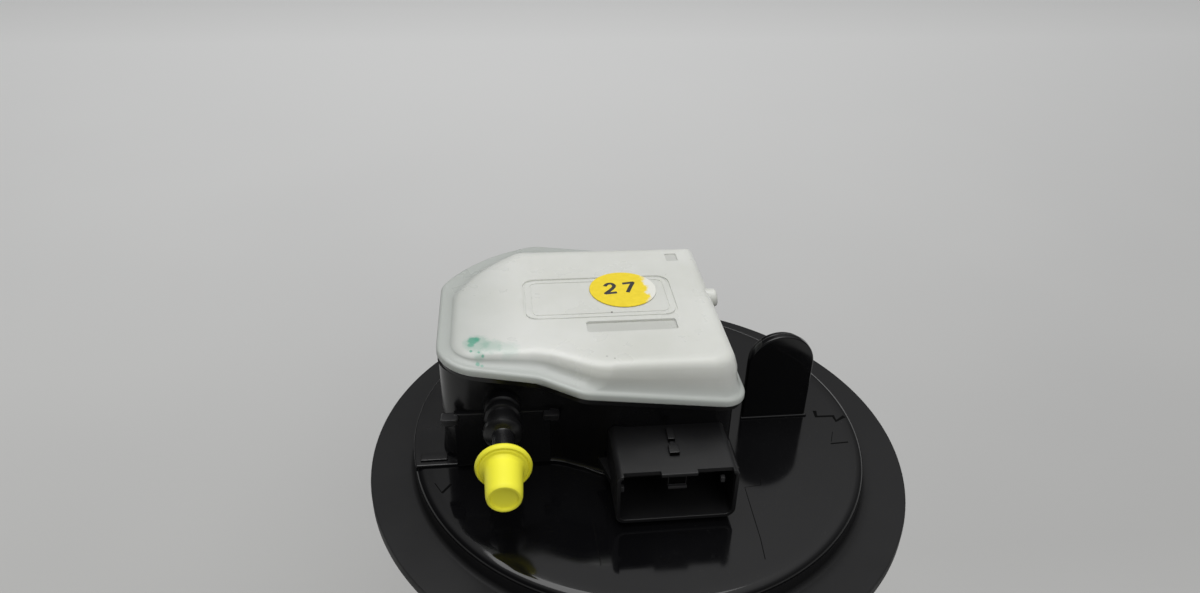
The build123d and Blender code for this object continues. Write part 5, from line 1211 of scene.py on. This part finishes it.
def foam(name):
    """Closed-cell float: dark, matt and finely pitted, with painted shade darkening the pits."""
    finish, tree, shader, place = new_finish(name)
    pits = tree.nodes.new("ShaderNodeTexVoronoi")
    pits.inputs["Scale"].default_value = 900.0
    tree.links.new(place, pits.inputs["Vector"])
    # painted shade: the pits are darker than the foam round them
    tone = ramp(tree, pits.outputs["Distance"], (0.012, 0.012, 0.012), (0.05, 0.05, 0.048), (0.1, 0.6))
    tree.links.new(tone, shader.inputs["Base Color"])
    shader.inputs["Roughness"].default_value = 0.75
    relief(tree, shader, pits.outputs["Distance"], 0.6, 0.1, 0.4)
    return finish


finish_of_slot = {
    "flange_plastic": rim_black,
    "housing_plastic": polished_black,
    "natural_plastic": natural_cup,
    "socket_plastic": socket_black,
    "nipple_plastic": nipple_black,
    "yellow_plastic": lemon_yellow,
    "black_plastic": plain_black_and_highlight,
    "rod_steel": drawn_steel,
    "spring_steel": spring_wire,
    "dot_paper": dot_paper,
    "hose_plastic": hose_black,
    "lead_red": wire_red,
    "lead_blue": wire_blue,
    "armature_iron": laminated("armature_iron"),
    "strainer_mesh": woven("strainer_mesh", (0.62, 0.64, 0.6), (0.2, 0.21, 0.2), 420.0),
    "ceramic": printed_card("ceramic", (-8.0, -132.0), (9.5, 13.5)),
    "float_foam": foam("float_foam"),
}
for name, dark, light, gloss, grain, depth, edge in (
    ("seal_rubber", (0.012, 0.012, 0.012), (0.02, 0.02, 0.02), (0.6, 0.75), 1600.0, 0.03, 0.0),
    ("impeller_plastic", (0.05, 0.03, 0.02), (0.07, 0.045, 0.03), (0.4, 0.5), 1500.0, 0.02, 0.2),
    ("carbon", (0.015, 0.015, 0.016), (0.03, 0.03, 0.032), (0.5, 0.65), 2200.0, 0.02, 0.2),
    ("ferrite", (0.03, 0.03, 0.032), (0.05, 0.05, 0.053), (0.55, 0.7), 1300.0, 0.04, 0.3),
):
    finish_of_slot[name] = moulded(name, dark, light, gloss, grain, depth, edge=edge)
for name, colour, shade, gloss, along in (
    ("tinned_brass", (0.72, 0.68, 0.55), (0.6, 0.56, 0.44), (0.25, 0.35), (1.0, 1.0, 14.0)),
    ("plated_steel", (0.62, 0.62, 0.6), (0.5, 0.5, 0.48), (0.3, 0.42), (1.0, 1.0, 14.0)),
    ("cast_aluminium", (0.6, 0.6, 0.6), (0.48, 0.48, 0.48), (0.45, 0.6), (1.0, 1.0, 1.0)),
    ("bush_bronze", (0.55, 0.36, 0.2), (0.42, 0.27, 0.14), (0.4, 0.55), (1.0, 1.0, 14.0)),
):
    finish_of_slot[name] = metal(name, colour, shade, gloss, along)
slots = {row["node"]: row["material_slot"] for row in frame["record"]["subparts"]}
for node, piece in frame["nodes"].items():
    for place in piece.material_slots:
        place.material = finish_of_slot[slots[node]]


def floor_finish():
    """Matt paint, with painted light that makes it lighter with distance, where the lamps' light falls off.
    """
    finish, tree, shader, place = new_finish("floor_paint")
    near = ramp(tree, noise(tree, place, 1.6), (0.47, 0.47, 0.465), (0.53, 0.53, 0.52), (0.3, 0.7))
    # painted light: the far floor is lightened to make up for the lamps' falloff
    distance = ramp(tree, split_axes(tree, place)[1], 0.0, 1.0, (0.12, 1.25))
    tone = blend_colours(tree, distance, near, (0.97, 0.975, 0.97))
    tree.links.new(tone, shader.inputs["Base Color"])
    shader.inputs["Roughness"].default_value = 0.8
    return finish


floor.data.materials.append(floor_finish())
